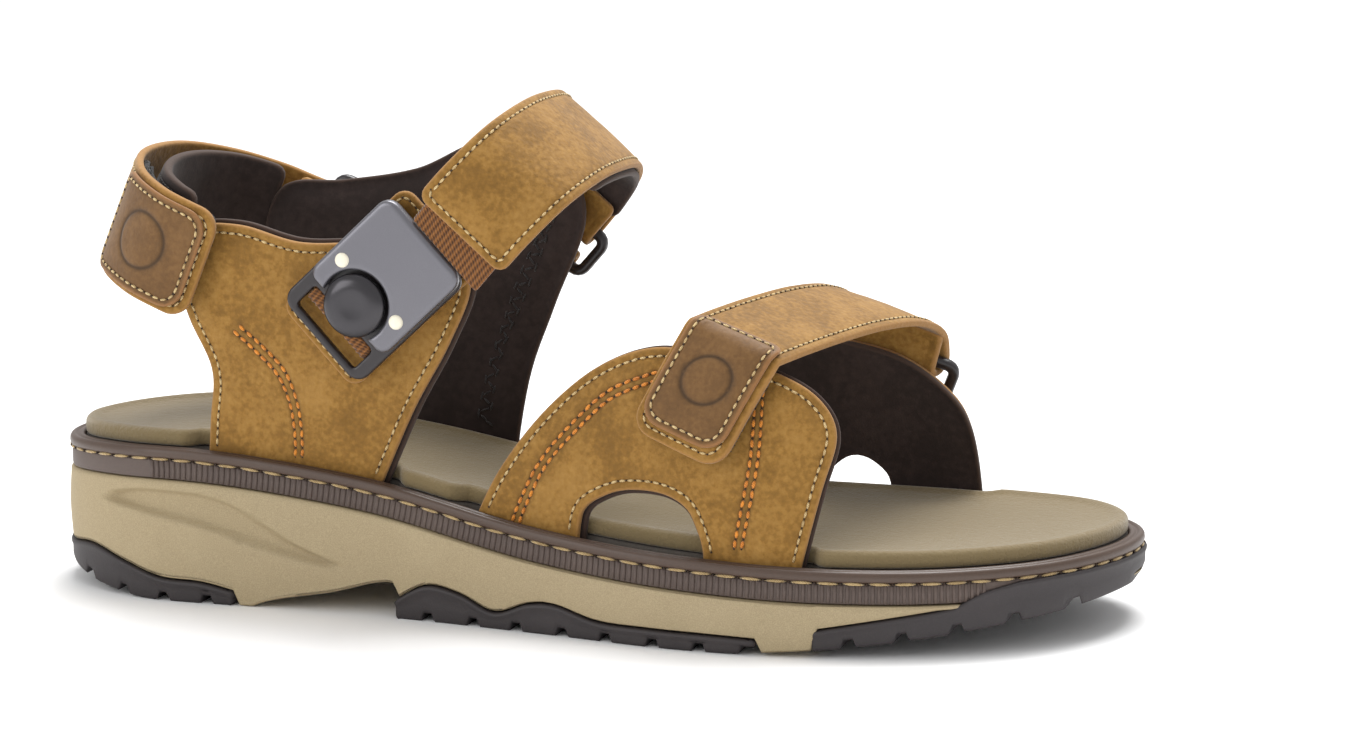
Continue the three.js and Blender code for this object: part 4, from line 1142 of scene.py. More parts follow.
def wear_group() -> bpy.types.NodeTree:
    """Wear along a cut edge, uneven in its reach."""
    def draw(n: Nodes, given: bpy.types.bpy_prop_collection) -> dict:
        """Builds the nodes."""
        rough = n.noise(given["Vector"], 900.0, 3.0)
        reach = n.math("MULTIPLY", given["Reach"], n.math("ADD", rough, 0.45))
        share = n.math("DIVIDE", given["Edge"], reach)
        return {"Mask": n.span(share, 0.35, 1.0, (1.0, 0.0))}
    return shared_group(
        "edge wear", (("Vector", "Vector"), ("Edge", "Float"), ("Reach", "Float")),
        (("Mask", "Float"),), draw)


def dust_and_sheen_group() -> bpy.types.NodeTree:
    """Scattered specks and paler patches: dust, and on leather also painted sheen of the nap."""
    def draw(n: Nodes, given: bpy.types.bpy_prop_collection) -> dict:
        """Builds the nodes."""
        patches = n.span(n.noise(given["Vector"], 45.0, 4.0), 0.5, 0.75)
        specks = n.span(n.noise(given["Vector"], 1400.0, 2.0), 0.62, 0.75)
        both = n.math("ADD", n.math("MULTIPLY", patches, 0.7), n.math("MULTIPLY", specks, 0.5))
        return {"Mask": n.math("MULTIPLY", both, given["Amount"])}
    return shared_group(
        "dust_and_sheen", (("Vector", "Vector"), ("Amount", "Float")), (("Mask", "Float"),), draw)


def weave_group() -> bpy.types.NodeTree:
    """Woven ribs along and across a tape, from its flow in millimetres."""
    def draw(n: Nodes, given: bpy.types.bpy_prop_collection) -> dict:
        """Builds the nodes."""
        split = n.add("ShaderNodeSeparateXYZ", {0: given["Flow"]}).outputs
        turn = n.math("DIVIDE", 2 * math.pi, given["Pitch"])
        rib = n.math("SINE", n.math("MULTIPLY", split[1], turn))
        slant = n.math("ADD", split[0], n.math("MULTIPLY", split[1], 0.5))
        yarn = n.math("SINE", n.math("MULTIPLY", slant, n.math("MULTIPLY", turn, 1.7)))
        height = n.math("ADD", n.math("MULTIPLY", rib, 0.6), n.math("MULTIPLY", yarn, 0.4))
        return {"Height": height, "Mask": n.span(height, -0.9, 0.9)}
    return shared_group(
        "weave", (("Flow", "Vector"), ("Pitch", "Float")), (("Height", "Float"), ("Mask", "Float")), draw)


def new_material(
    name: str, roughness: float, metallic: float = 0.0, **gloss: float
) -> tuple[bpy.types.Material, Nodes, bpy.types.Node]:
    """Starts a material.

    Args:
        name: the finish's name.
        roughness: the shader's plain roughness.
        metallic: the shader's plain metallic value.
        gloss: other sockets of the shader, spaces written as underscores.

    Returns:
        The material, its nodes and its Principled shader.
    """
    material = bpy.data.materials.new(name)
    material.use_nodes = True
    material.node_tree.nodes.clear()
    n = Nodes(material.node_tree)
    values = {key.replace("_", " "): value for key, value in gloss.items()}
    shader = n.add("ShaderNodeBsdfPrincipled", {"Roughness": roughness, "Metallic": metallic, **values})
    n.add("ShaderNodeOutputMaterial", {"Surface": shader.outputs[0]})
    return material, n, shader


def place(n: Nodes) -> bpy.types.NodeSocket:
    """The point's own place on the object."""
    return n.add("ShaderNodeTexCoord").outputs["Object"]


def relief(n: Nodes, shader: bpy.types.Node, height: object, depth: float) -> None:
    """Gives the shader a bump of a depth in millimetres."""
    values = {"Height": height, "Strength": 1.0, "Distance": depth * MM}
    n.tree.links.new(n.add("ShaderNodeBump", values).outputs[0], shader.inputs["Normal"])


def use(n: Nodes, group: bpy.types.NodeTree, values: dict) -> bpy.types.bpy_prop_collection:
    """Places a shared group and returns its outputs."""
    node = n.add("ShaderNodeGroup", node_tree=group)
    for key, value in values.items():
        if isinstance(value, bpy.types.NodeSocket):
            n.tree.links.new(value, node.inputs[key])
        else:
            node.inputs[key].default_value = value
    return node.outputs


@dataclass(frozen=True)
class Leather:
    """Leather or suede: mottled, grained, and rubbed to another tone at its cut edge."""

    name: str
    base: tuple
    dark: tuple
    light: tuple
    cut: tuple
    cut_reach: float = 1.1
    grain: float = 1.5
    depth: float = 0.16
    patch: float = 26.0
    contrast: float = 0.8
    roughness: float = 0.8
    # amount of paler patches: partly dust, partly painted sheen of the nap
    dust_and_sheen: float = 0.25
    sheen: float = 0.15
    nap: tuple[float, float, float] = (1.0, 1.0, 1.0)

    def make(self) -> bpy.types.Material:
        """Builds the material."""
        material, n, shader = new_material(
            self.name, self.roughness, Sheen_Weight=self.sheen, Sheen_Roughness=0.5,
            Specular_IOR_Level=0.3)
        spot = place(n)
        brushed = n.add("ShaderNodeMapping", {"Vector": spot, "Scale": self.nap}).outputs[0]
        colour = use(n, mottle_group(), {
            "Vector": brushed, "Size": self.patch, "Base": self.base, "Dark": self.dark,
            "Light": self.light, "Depth": self.contrast})[0]
        grain = use(n, grain_group(), {"Vector": spot, "Size": self.grain})
        creased = n.blend(n.span(grain["Height"], 0.1, 0.5, (0.3, 0.0)), colour, self.dark)
        # Paler patches towards the light tone: partly dust, partly painted sheen of the nap.
        dust_and_sheen_mask = use(n, dust_and_sheen_group(), {"Vector": spot, "Amount": self.dust_and_sheen})[0]
        colour = n.blend(dust_and_sheen_mask, creased, self.light)
        edge = n.add("ShaderNodeAttribute", attribute_name="edge").outputs["Fac"]
        worn = use(n, wear_group(), {"Vector": spot, "Edge": edge, "Reach": self.cut_reach})[0]
        colour = n.blend(worn, colour, self.cut)
        # Darker along the furrows: burnish of the patch's pressed ring, and painted shade in the grooves of
        # the sewn rows.
        pressed = n.add("ShaderNodeAttribute", attribute_name="pressed").outputs["Fac"]
        burnish_and_groove_shade = (*(channel * 0.35 for channel in self.dark[:3]), 1.0)
        colour = n.blend(n.math("MULTIPLY", pressed, 0.85), colour, burnish_and_groove_shade)
        n.tree.links.new(colour, shader.inputs["Base Color"])
        rough = n.span(grain["Pores"], 0.2, 0.8, (self.roughness - 0.1, min(self.roughness + 0.1, 1)))
        n.tree.links.new(rough, shader.inputs["Roughness"])
        relief(n, shader, grain["Height"], self.depth)
        return material


@dataclass(frozen=True)
class Moulded:
    """Moulded rubber, foam or plastic: even colour with fine pitting and a little dust."""

    name: str
    base: tuple
    dark: tuple
    dusted: tuple
    pit: float = 0.6
    depth: float = 0.05
    roughness: float = 0.6
    dust_and_sheen: float = 0.3
    metallic: float = 0.0
    specks: float = 0.4
    brushed: float = 0.0
    coat: float = 0.0

    def make(self) -> bpy.types.Material:
        """Builds the material."""
        material, n, shader = new_material(
            self.name, self.roughness, self.metallic, Coat_Weight=self.coat, Coat_Roughness=0.35)
        spot = place(n)
        stretched = n.add("ShaderNodeMapping", {
            "Vector": spot, "Scale": (1.0, 1.0 + self.brushed, 1.0)}).outputs[0]
        grain = use(n, grain_group(), {"Vector": stretched, "Size": self.pit})
        specks = n.span(grain["Pores"], 0.42, 0.6, (self.specks, 0.0))
        colour = n.blend(specks, self.base, self.dark)
        dust_and_sheen_mask = use(n, dust_and_sheen_group(), {"Vector": spot, "Amount": self.dust_and_sheen})[0]
        n.tree.links.new(n.blend(dust_and_sheen_mask, colour, self.dusted), shader.inputs["Base Color"])
        rough = n.math("ADD", n.math("MULTIPLY", dust_and_sheen_mask, 0.25), self.roughness)
        n.tree.links.new(rough, shader.inputs["Roughness"])
        relief(n, shader, grain["Height"], self.depth)
        return material


@dataclass(frozen=True)
class Woven:
    """Webbing, knit or tape: yarns that follow the piece's own flow."""

    name: str
    base: tuple
    dark: tuple
    pitch: float = 1.1
    depth: float = 0.2
    fuzz: float = 0.3

    def make(self) -> bpy.types.Material:
        """Builds the material."""
        material, n, shader = new_material(self.name, 0.9, Sheen_Weight=0.3, Sheen_Roughness=0.4)
        spot = place(n)
        flow = n.add("ShaderNodeUVMap", uv_map="flow").outputs[0]
        weave = use(n, weave_group(), {"Flow": flow, "Pitch": self.pitch})
        fluff = n.noise(spot, 2600.0, 3.0)
        worn = n.math("ADD", n.math("MULTIPLY", fluff, self.fuzz), 1 - self.fuzz)
        mask = n.math("MULTIPLY", weave["Mask"], worn)
        n.tree.links.new(n.blend(mask, self.dark, self.base), shader.inputs["Base Color"])
        height = n.math("ADD", weave["Height"], n.math("MULTIPLY", fluff, self.fuzz * 3))
        relief(n, shader, height, self.depth)
        return material


@dataclass(frozen=True)
class Spun:
    """Sewing thread: lighter and darker stitches with a twist in them."""

    name: str
    base: tuple
    dark: tuple
    sheen: float = 0.2

    def make(self) -> bpy.types.Material:
        """Builds the material."""
        material, n, shader = new_material(self.name, 0.6, Sheen_Weight=self.sheen)
        spot = place(n)
        shift = n.noise(spot, 350.0, 1.0)
        twist = {"Vector": spot, "Scale": 900.0, "Distortion": 3.0}
        ply = n.add("ShaderNodeTexWave", twist, bands_direction="DIAGONAL").outputs[1]
        share = n.math("ADD", n.math("MULTIPLY", shift, 0.7), n.math("MULTIPLY", ply, 0.3))
        n.tree.links.new(n.blend(n.span(share, 0.3, 0.65), self.dark, self.base), shader.inputs["Base Color"])
        relief(n, shader, ply, 0.08)
        return material


FINISHES = (
    Leather(
        "nubuck", tone(146, 106, 44), tone(112, 79, 28), tone(170, 129, 66), tone(156, 114, 60),
        cut_reach=0.8, grain=1.25, depth=0.26, patch=13.0, contrast=0.7),
    Leather(
        "patch leather", tone(112, 79, 40), tone(88, 60, 28), tone(132, 97, 56), tone(140, 98, 56),
        grain=1.0, depth=0.1, patch=12.0, contrast=0.5, roughness=0.62),
    Leather(
        "brown lining", tone(50, 38, 35), tone(40, 30, 27), tone(62, 49, 45), tone(66, 50, 42),
        grain=0.7, depth=0.06, patch=20.0, dust_and_sheen=0.12, roughness=0.82, sheen=0.1),
    Leather(
        "footbed suede", tone(152, 135, 90), tone(98, 85, 54), tone(190, 173, 126),
        tone(122, 106, 74), cut_reach=0.4, grain=0.8, depth=0.3, patch=11.0, contrast=1.0,
        roughness=0.93, dust_and_sheen=0.35, sheen=0.35, nap=(1.0, 0.35, 1.0)),
    Moulded(
        "midsole foam", tone(172, 155, 122), tone(140, 124, 94), tone(190, 174, 142), pit=0.85,
        depth=0.16, roughness=0.72, dust_and_sheen=0.25, specks=0.5),
    Moulded(
        "smooth foam", tone(190, 174, 138), tone(164, 148, 114), tone(210, 196, 160), pit=0.6,
        depth=0.03, roughness=0.6, dust_and_sheen=0.2, specks=0.2),
    Moulded(
        "outsole rubber", tone(50, 44, 45), tone(34, 30, 31), tone(78, 70, 70), pit=0.7, depth=0.06,
        roughness=0.58, dust_and_sheen=0.35),
    Moulded(
        "welt rubber", tone(78, 60, 49), tone(58, 43, 34), tone(100, 82, 68), pit=0.8, depth=0.03,
        roughness=0.42, dust_and_sheen=0.2),
    Moulded(
        "rand rubber", tone(92, 78, 71), tone(58, 47, 43), tone(120, 105, 96), pit=0.5, depth=0.03,
        roughness=0.6, dust_and_sheen=0.3),
    Moulded(
        "cushion foam", tone(92, 86, 80), tone(60, 56, 52), tone(120, 112, 104), pit=1.0, depth=0.2,
        roughness=0.95),
    Moulded(
        "insole board", tone(170, 146, 108), tone(128, 104, 72), tone(190, 168, 130), pit=2.2,
        depth=0.05, roughness=0.9),
    Moulded(
        "spring steel", tone(186, 186, 190), tone(150, 150, 154), tone(200, 196, 190), pit=0.4,
        depth=0.02, roughness=0.35, metallic=1.0, brushed=12.0, dust_and_sheen=0.1),
    Moulded(
        "dark plastic", tone(42, 37, 39), tone(30, 26, 28), tone(70, 62, 62), pit=0.5, depth=0.02,
        roughness=0.3, dust_and_sheen=0.1, specks=0.2),
    Moulded(
        "gunmetal", tone(112, 111, 117), tone(88, 87, 93), tone(136, 134, 138), pit=0.35,
        depth=0.012, roughness=0.32, metallic=0.65, dust_and_sheen=0.1, specks=0.25, coat=0.25),
    Moulded(
        "button metal", tone(62, 60, 63), tone(44, 42, 46), tone(92, 88, 90), pit=0.35,
        depth=0.01, roughness=0.22, metallic=0.75, dust_and_sheen=0.08, specks=0.2, coat=0.3),
    Moulded(
        "cream stud", tone(240, 234, 214), tone(214, 204, 178), tone(250, 246, 234), pit=0.4,
        depth=0.01, roughness=0.35, dust_and_sheen=0.1, specks=0.2),
    Woven("ribbed webbing", tone(156, 102, 50), tone(70, 42, 22), pitch=1.5, depth=0.16),
    Woven("hook tape", tone(44, 38, 37), tone(14, 12, 12), pitch=1.6, depth=0.35, fuzz=0.8),
    Spun("cream thread", tone(216, 190, 136), tone(170, 140, 90)),
    Spun("welt thread", tone(186, 160, 112), tone(140, 114, 72)),
    Spun("orange thread", tone(232, 146, 38), tone(186, 106, 22)),
    Spun("dark thread", tone(40, 32, 30), tone(20, 16, 15)),
    # Painted shade: the dark colour of the dots at the needle holes.
    Spun("painted needle hole shade", tone(58, 36, 16), tone(40, 25, 12), sheen=0.0),
)


class Finishes:
    """Every finish, made once and found by its name."""

    def __init__(self) -> None:
        """Makes the materials."""
        self.made = {finish.name: finish.make() for finish in FINISHES}

    def __getitem__(self, name: str) -> bpy.types.Material:
        """The material of that name."""
        return self.made[name]


# ------------------------------------------------------------------ the sole


@dataclass
class Pad:
    """A rubber pad under the midsole, with a wavy upper edge given as (x, z) pairs."""

    name: str
    wave: tuple[tuple[float, float], ...]

    def top(self, x: Points) -> Points:
        """Height of its upper edge, and far below where it isn't."""
        line = spline(self.wave, 120)
        return np.interp(x, line[:, 0], line[:, 1], left=-20, right=-20)


@dataclass
class Sole:
    """Pads, midsole, rand, welt and footbed, all lofted round the same outline."""

    finishes: "Finishes"
    step: float = 1.8
    levels: int = 34
    lug_pitch: float = 13.0
    lug_groove: float = 3.2
    lug_depth: float = 2.2
    rand_inset: float = 0.55
    rib_pitch: float = 1.6
    rib_size: tuple[float, float, float] = (0.52, 0.5, 4.6)
    rib_start: float = -112.0
    bumper: tuple[tuple[float, float], ...] = (
        (104, 0), (111, 0.02), (118, 0.55), (126, 0.9), (134, 1), (158, 1))
    rib_stop: float = 119.0
    footbed_room: float = 4.7
    lens_depth: float = 2.6
    pads: tuple[Pad, ...] = (
        Pad("outsole_heel", (
            (-158, 12), (-146, 11), (-134, 12.5), (-122, 9.5), (-110, 6.2), (-98, 5.6), (-88, 3.6))),
        Pad("outsole_forefoot", (
            (-41, 5), (-32, 9.6), (-22, 8.2), (-12, 4.4), (-2, 7.6), (6, 8), (18, 5), (32, 4.6),
            (48, 4.4), (62, 4))),
        Pad("outsole_toe", ((76, 7), (92, 9.8), (108, 12.4), (122, 14.4), (140, 16), (158, 16.5))))
    lens: tuple[tuple[float, float], ...] = (
        (-128, 25.8), (-126, 28.9), (-113, 30.9), (-92, 29.1), (-72, 19.3), (-60, 14.6), (-54, 12.2),
        (-64, 12.9), (-80, 16.4), (-100, 21.6), (-118, 24.4))
    upper_zones: tuple[tuple[Side, float, float], ...] = (
        (Side.LATERAL, -100, -44), (Side.LATERAL, -23, 75), (Side.MEDIAL, -101, -27),
        (Side.MEDIAL, -13, 104))

    def build(self) -> None:
        """Builds every piece of the sole."""
        self.ring = even(LAST.outline, self.step, True)
        for pad in self.pads:
            self.build_pad(pad)
        self.build_midsole()
        self.build_rand()
        self.build_welt()
        self.build_footbed()

    def add(
        self, name: str, ring: Points, levels: Sequence[Level], finish: str, slot: str, node: str,
        hollow: bool = False,
    ) -> bpy.types.Object:
        """Lofts one piece of the sole and has it stand for its node."""
        points, faces = loft(ring, levels, hollow=hollow)
        piece = make_object(name, points, faces, self.finishes[finish])
        settle(piece, Body.SANDAL, slot, node)
        return piece

    def lugs(self, x: Points) -> Points:
        """How far the tread's grooves rise at x."""
        place = (x + 150) % self.lug_pitch
        return self.lug_depth * ease(np.minimum(place, self.lug_groove - place) / 0.4 + 0.5)

    def build_pad(self, pad: Pad) -> None:
        """Builds one pad with its tread."""
        low, high = pad.wave[0][0], pad.wave[-1][0]

        def top(x: Points) -> Points:
            """Its upper edge, which climbs over the rand at the toe."""
            return pad.top(x) + self.climb(x) * (LAST.welt_bottom(x) - 0.5 - pad.top(x))

        edge = even(LAST.outline, 0.8, True)
        ring = edge[(edge[:, 0] > low) & (edge[:, 0] < high)]

        def at(share: float, lift: float) -> Callable[[Points], Points]:
            """A height between the tread and the upper edge."""
            def height(x: Points) -> Points:
                """Height at x."""
                tread = LAST.ground(x) + self.lugs(x)
                return tread + (top(np.clip(x, low, high)) - tread) * share + lift
            return height

        profile = (
            (0.7, at(0, 0.0)), (0.2, at(0, 0.4)), (0.0, at(0, 1.0)), (0.0, at(0.5, 0.0)),
            (-0.05, at(1, -1.7)), (-0.35, at(1, -1.1)), (-0.4, at(1, -0.7)), (-0.2, at(1, -0.25)),
            (0.3, at(1, 0.0)), (1.4, at(1, 0.0)))
        out = 0.3 * self.climb(ring[:, 0])
        levels = [(inset - out, height) for inset, height in profile]
        levels.append((1.6, lambda x: pad.top(np.clip(x, low, high))))
        self.add(pad.name + "_tread", ring, levels, "outsole rubber", "rubber", pad.name)

    def climb(self, x: Points) -> Points:
        """How far, from 0 to 1, the toe pad climbs towards the welt at x."""
        return np.interp(x, *zip(*self.bumper))

    def build_midsole(self) -> None:
        """Builds the midsole, hollowed by a long lens on both sides of the heel."""
        def low(x: Points) -> Points:
            """Height of its underside, over the pads."""
            over = np.max([LAST.bottom(x), *[pad.top(x) + LAST.gap for pad in self.pads]], axis=0)
            return np.minimum(over, LAST.midsole_top(x) - 1.2)

        def at(share: float, lift: float) -> Callable[[Points], Points]:
            """A height between its underside and its top."""
            return lambda x: low(x) + (LAST.midsole_top(x) - low(x)) * share + lift

        lens = spline([*self.lens, self.lens[0]], 120)
        levels = [(1.4, at(0, 0.0)), (0.45, at(0, 0.25)), (0.1, at(0, 0.9))]
        for share in np.linspace(0, 1, self.levels):
            height = at(0.03 + 0.93 * share, 0.0)
            z = height(self.ring[:, 0])
            flat = np.column_stack([self.ring[:, 0], z])
            deep = np.where(inside(flat, lens), distance_to(flat, lens, False), 0)
            draft = 0.5 * math.sin(math.pi * share) - 0.15
            dished = self.lens_depth * ease(deep / 1.3) - draft
            levels.append((dished + 0.9 * self.climb(self.ring[:, 0]), height))
        levels += [(0.45, at(1, -0.45)), (0.8, at(1, -0.1)), (1.6, at(1, 0.0))]
        self.add("midsole_body", self.ring, levels, "midsole foam", "midsole", "midsole")

    def build_rand(self) -> None:
        """Builds the band under the welt and its fine upright ribs."""
        inset, width = self.rand_inset, LAST.welt_width

        def up(lift: float) -> Callable[[Points], Points]:
            """A height over its underside."""
            return lambda x: LAST.rand_bottom(x) + lift

        top = LAST.rand_height
        profile = (
            (inset + 0.5, up(0.0)), (inset + 0.1, up(0.15)), (inset, up(0.5)), (inset, up(top / 2)),
            (inset, up(top - 0.5)), (inset + 0.1, up(top - 0.15)), (inset + 0.5, up(top)),
            (width, up(top)), (width, up(0.0)))
        self.add("rand_band", self.ring, profile, "rand rubber", "rand", "ribbed_rand", hollow=True)
        line = sideways(self.ring, inset, True)
        line = np.column_stack([line, LAST.rand_bottom(line[:, 0]) + top / 2])
        start = int(np.argmax(line[:, 0] < self.rib_start))
        line = np.roll(line, -start, 0)
        toe = int(np.argmax(line[:, 0]))
        runs = [
            run[(run[:, 0] > self.rib_start) & (run[:, 0] < self.rib_stop)]
            for run in (line[:toe], line[toe:])]
        base = line_object("rib_line", runs)
        ribs = grow(base, "rand_ribs", row_tree(Repeat.RIB), {
            "Pitch": self.rib_pitch * MM, "Offset": 0.0, "Size": tuple(s * MM for s in self.rib_size),
            "Jitter": 0.0, "Seed": 1, "Finish": self.finishes["rand rubber"]})
        bpy.data.objects.remove(base)
        settle(ribs, Body.SANDAL, "rand")

    def build_welt(self) -> None:
        """Builds the rim with its groove, and the long stitches that hold it."""
        def up(lift: float) -> Callable[[Points], Points]:
            """A height over its underside."""
            return lambda x: LAST.welt_bottom(x) + lift

        top = LAST.welt_height
        profile = (
            (0.9, up(0.0)), (0.3, up(0.2)), (0.02, up(0.7)), (-0.1, up(1.4)), (0.0, up(top - 0.8)),
            (0.35, up(top - 0.25)), (0.9, up(top)), (1.5, up(top - 0.02)), (1.75, up(top - 0.3)),
            (2.1, up(top - 0.45)), (2.45, up(top - 0.3)), (2.7, up(top - 0.02)), (3.6, up(top)),
            (4.1, up(top - 0.3)), (4.2, up(top - 0.8)), (4.2, up(0.0)))
        self.add("welt_rim", self.ring, profile, "welt rubber", "welt", "welt", hollow=True)
        line = sideways(self.ring, 0.3, True)
        line = np.column_stack([line, LAST.welt_bottom(line[:, 0]) - 0.1])
        line = np.vstack([line, line[:1]])
        sew("welt_stitches", [line], WELTED, self.finishes, Body.SANDAL, 2)

    def footbed_inset(self) -> Points:
        """How far in the footbed starts: further where the uppers go down beside it."""
        x, y = self.ring.T
        room = np.zeros(len(x))
        for side, low, high in self.upper_zones:
            near = ease(np.minimum(x - low, high - x) / 4 + 1) * (y * side.value > 0)
            room = np.maximum(room, near)
        return LAST.footbed_setback + self.footbed_room * room

    def build_footbed(self) -> None:
        """Builds the board, the foam and the dished cover with its raised edge."""
        inset = self.footbed_inset()

        def up(base: Callable[[Points], Points], lift: float) -> Callable[[Points], Points]:
            """A height over another."""
            return lambda x: base(x) + lift

        board = up(LAST.midsole_top, LAST.gap)
        foam = up(board, LAST.board + LAST.gap)
        cover = up(LAST.welt_top, 0.0)
        top = LAST.cover_top
        stack = (
            ("board_layer", "board", "insole board", "insole_board", (
                (inset + 0.3, board), (inset, up(board, 0.3)), (inset, up(board, 1.7)),
                (inset + 0.3, up(board, LAST.board)))),
            ("foam_layer", "foam", "cushion foam", "footbed_foam", (
                (inset + 0.6, foam), (inset, up(foam, 0.6)), (inset, up(LAST.welt_top, -0.9)),
                (inset + 0.6, up(LAST.welt_top, -0.4)))),
            ("footbed_top", "suede", "footbed suede", "footbed_cover", (
                (inset + 0.4, cover), (inset, up(cover, 0.5)), (inset - 0.1, up(cover, 1.6)),
                (inset, up(top, -1.2)), (inset + 0.35, up(top, -0.5)), (inset + 0.9, up(top, -0.1)),
                (inset + 1.6, up(top, 0.05)), (inset + 2.4, up(top, 0.0)), (inset + 3.2, up(top, -0.35)),
                (inset + 4.2, up(top, -0.8)), (inset + 5.4, up(top, -1.0)), (inset + 7.5, up(top, -1.25)),
                (inset + 10.5, up(top, -1.6)))))
        for name, slot, finish, node, profile in stack:
            piece = self.add(name, self.ring, profile, finish, slot, node)


# ------------------------------------------------------------------ the uppers


@dataclass
class Panel:
    """A panel of the uppers, given by (x, z) pairs from its rear foot over its top to its front."""

    name: str
    side: Side
    half: Half
    pairs: tuple[tuple[float, float], ...]
    arch: tuple[tuple[float, float], ...] = ()  # opening at its foot, from rear to front
    seams: tuple[tuple[tuple[float, float], ...], ...] = ()  # heavy double rows
    padded: bool = False
    sunk: float = 4.5

    def pattern(self) -> Points:
        """Its outline in X and Z, counter-clockwise, down to where it goes into the sole."""
        line = spline(self.pairs, 12 * len(self.pairs))
        line = line[line[:, 1] > LAST.welt_top(line[:, 0]) - self.sunk]
        xs = np.arange(line[0, 0], line[-1, 0], 2.0)
        foot = np.column_stack([xs, LAST.welt_top(xs) - self.sunk])
        if self.arch:
            opening = spline(self.arch, 40)
            opening = opening[opening[:, 1] > LAST.welt_top(opening[:, 0]) - self.sunk]
            before, after = foot[:, 0] < opening[0, 0], foot[:, 0] > opening[-1, 0]
            foot = np.vstack([foot[before], opening, foot[after]])
        return even(np.vstack([foot, line[::-1]]), 1.2, True)


QUARTER_SEAMS = (
    ((-85.4, 75.8), (-80, 71.4), (-73.7, 64.9), (-70.3, 56.8), (-69.1, 48.6), (-69, 42.5)),
    ((-87.1, 74.3), (-81.9, 69.9), (-75.5, 63.4), (-72.3, 55.9), (-71.1, 48), (-71, 42.5)))

PANELS = (
    Panel("lateral_quarter", Side.LATERAL, LAST.quarter_half, (
        (-97, 34), (-96, 50), (-95, 64), (-101, 78), (-104, 90), (-99, 102), (-86, 103.5),
        (-69, 99.5), (-50, 100), (-28, 99), (-21, 90), (-27, 74), (-37, 56), (-47, 34)),
        seams=QUARTER_SEAMS,
        padded=True),
    Panel("medial_quarter", Side.MEDIAL, LAST.quarter_half, (
        (-98, 34), (-97, 50), (-96, 64), (-102, 78), (-104, 92), (-98, 106), (-80, 108),
        (-58, 112), (-36, 121), (-16, 114), (-10, 100), (-19, 76), (-26, 56), (-30, 30)),
        seams=QUARTER_SEAMS,
        padded=True),
    Panel("lateral_vamp", Side.LATERAL, LAST.vamp_half, (
        (-20, 26), (-12, 42), (0, 58), (14, 70), (30, 76), (48, 74.5), (64, 71), (75, 65),
        (80, 56), (77, 42), (72, 20)),
        arch=(
            (10.8, 20), (11.1, 26.6), (12.5, 33.3), (17.3, 37.1), (24.4, 39.6), (34.3, 39.6),
            (41.3, 36.5), (44.7, 30.9), (46.4, 25.3), (46.6, 18)),
        seams=(
            ((30.6, 69.5), (18.3, 64.3), (7.6, 54.4), (-0.4, 44.5), (-5.8, 33.5), (-7.4, 29.5)),
            ((30.6, 67.4), (18.9, 62.2), (9, 52.8), (1.2, 43.3), (-4, 32.6), (-5.4, 29.2)),
            ((58.3, 66), (58.4, 51.9), (57.4, 41.9), (55.8, 31.6), (55.2, 28)),
            ((60.3, 66), (60.4, 51.9), (59.4, 41.9), (57.8, 31.6), (57.2, 28)))),
    Panel("medial_vamp", Side.MEDIAL, LAST.vamp_half, (
        (-10, 24), (-2, 42), (10, 56), (28, 66), (52, 70), (76, 66), (91, 56), (98, 44),
        (101, 20)),
        arch=(
            (54.4, 20), (55, 27), (57.1, 31.6), (62.7, 36.1), (68.5, 35.9), (74, 31.6), (75.8, 27),
            (76, 20)),
        seams=(
            ((34, 62.5), (22, 57.5), (13, 49), (6, 39), (2.5, 31)),
            ((34, 60.4), (23.2, 55.6), (14.7, 47.6), (8, 38.2), (4.4, 31)),
            ((84, 56), (85, 48), (85.5, 38), (86, 30)),
            ((86, 55), (87, 48), (87.5, 38), (88, 30)))),
)


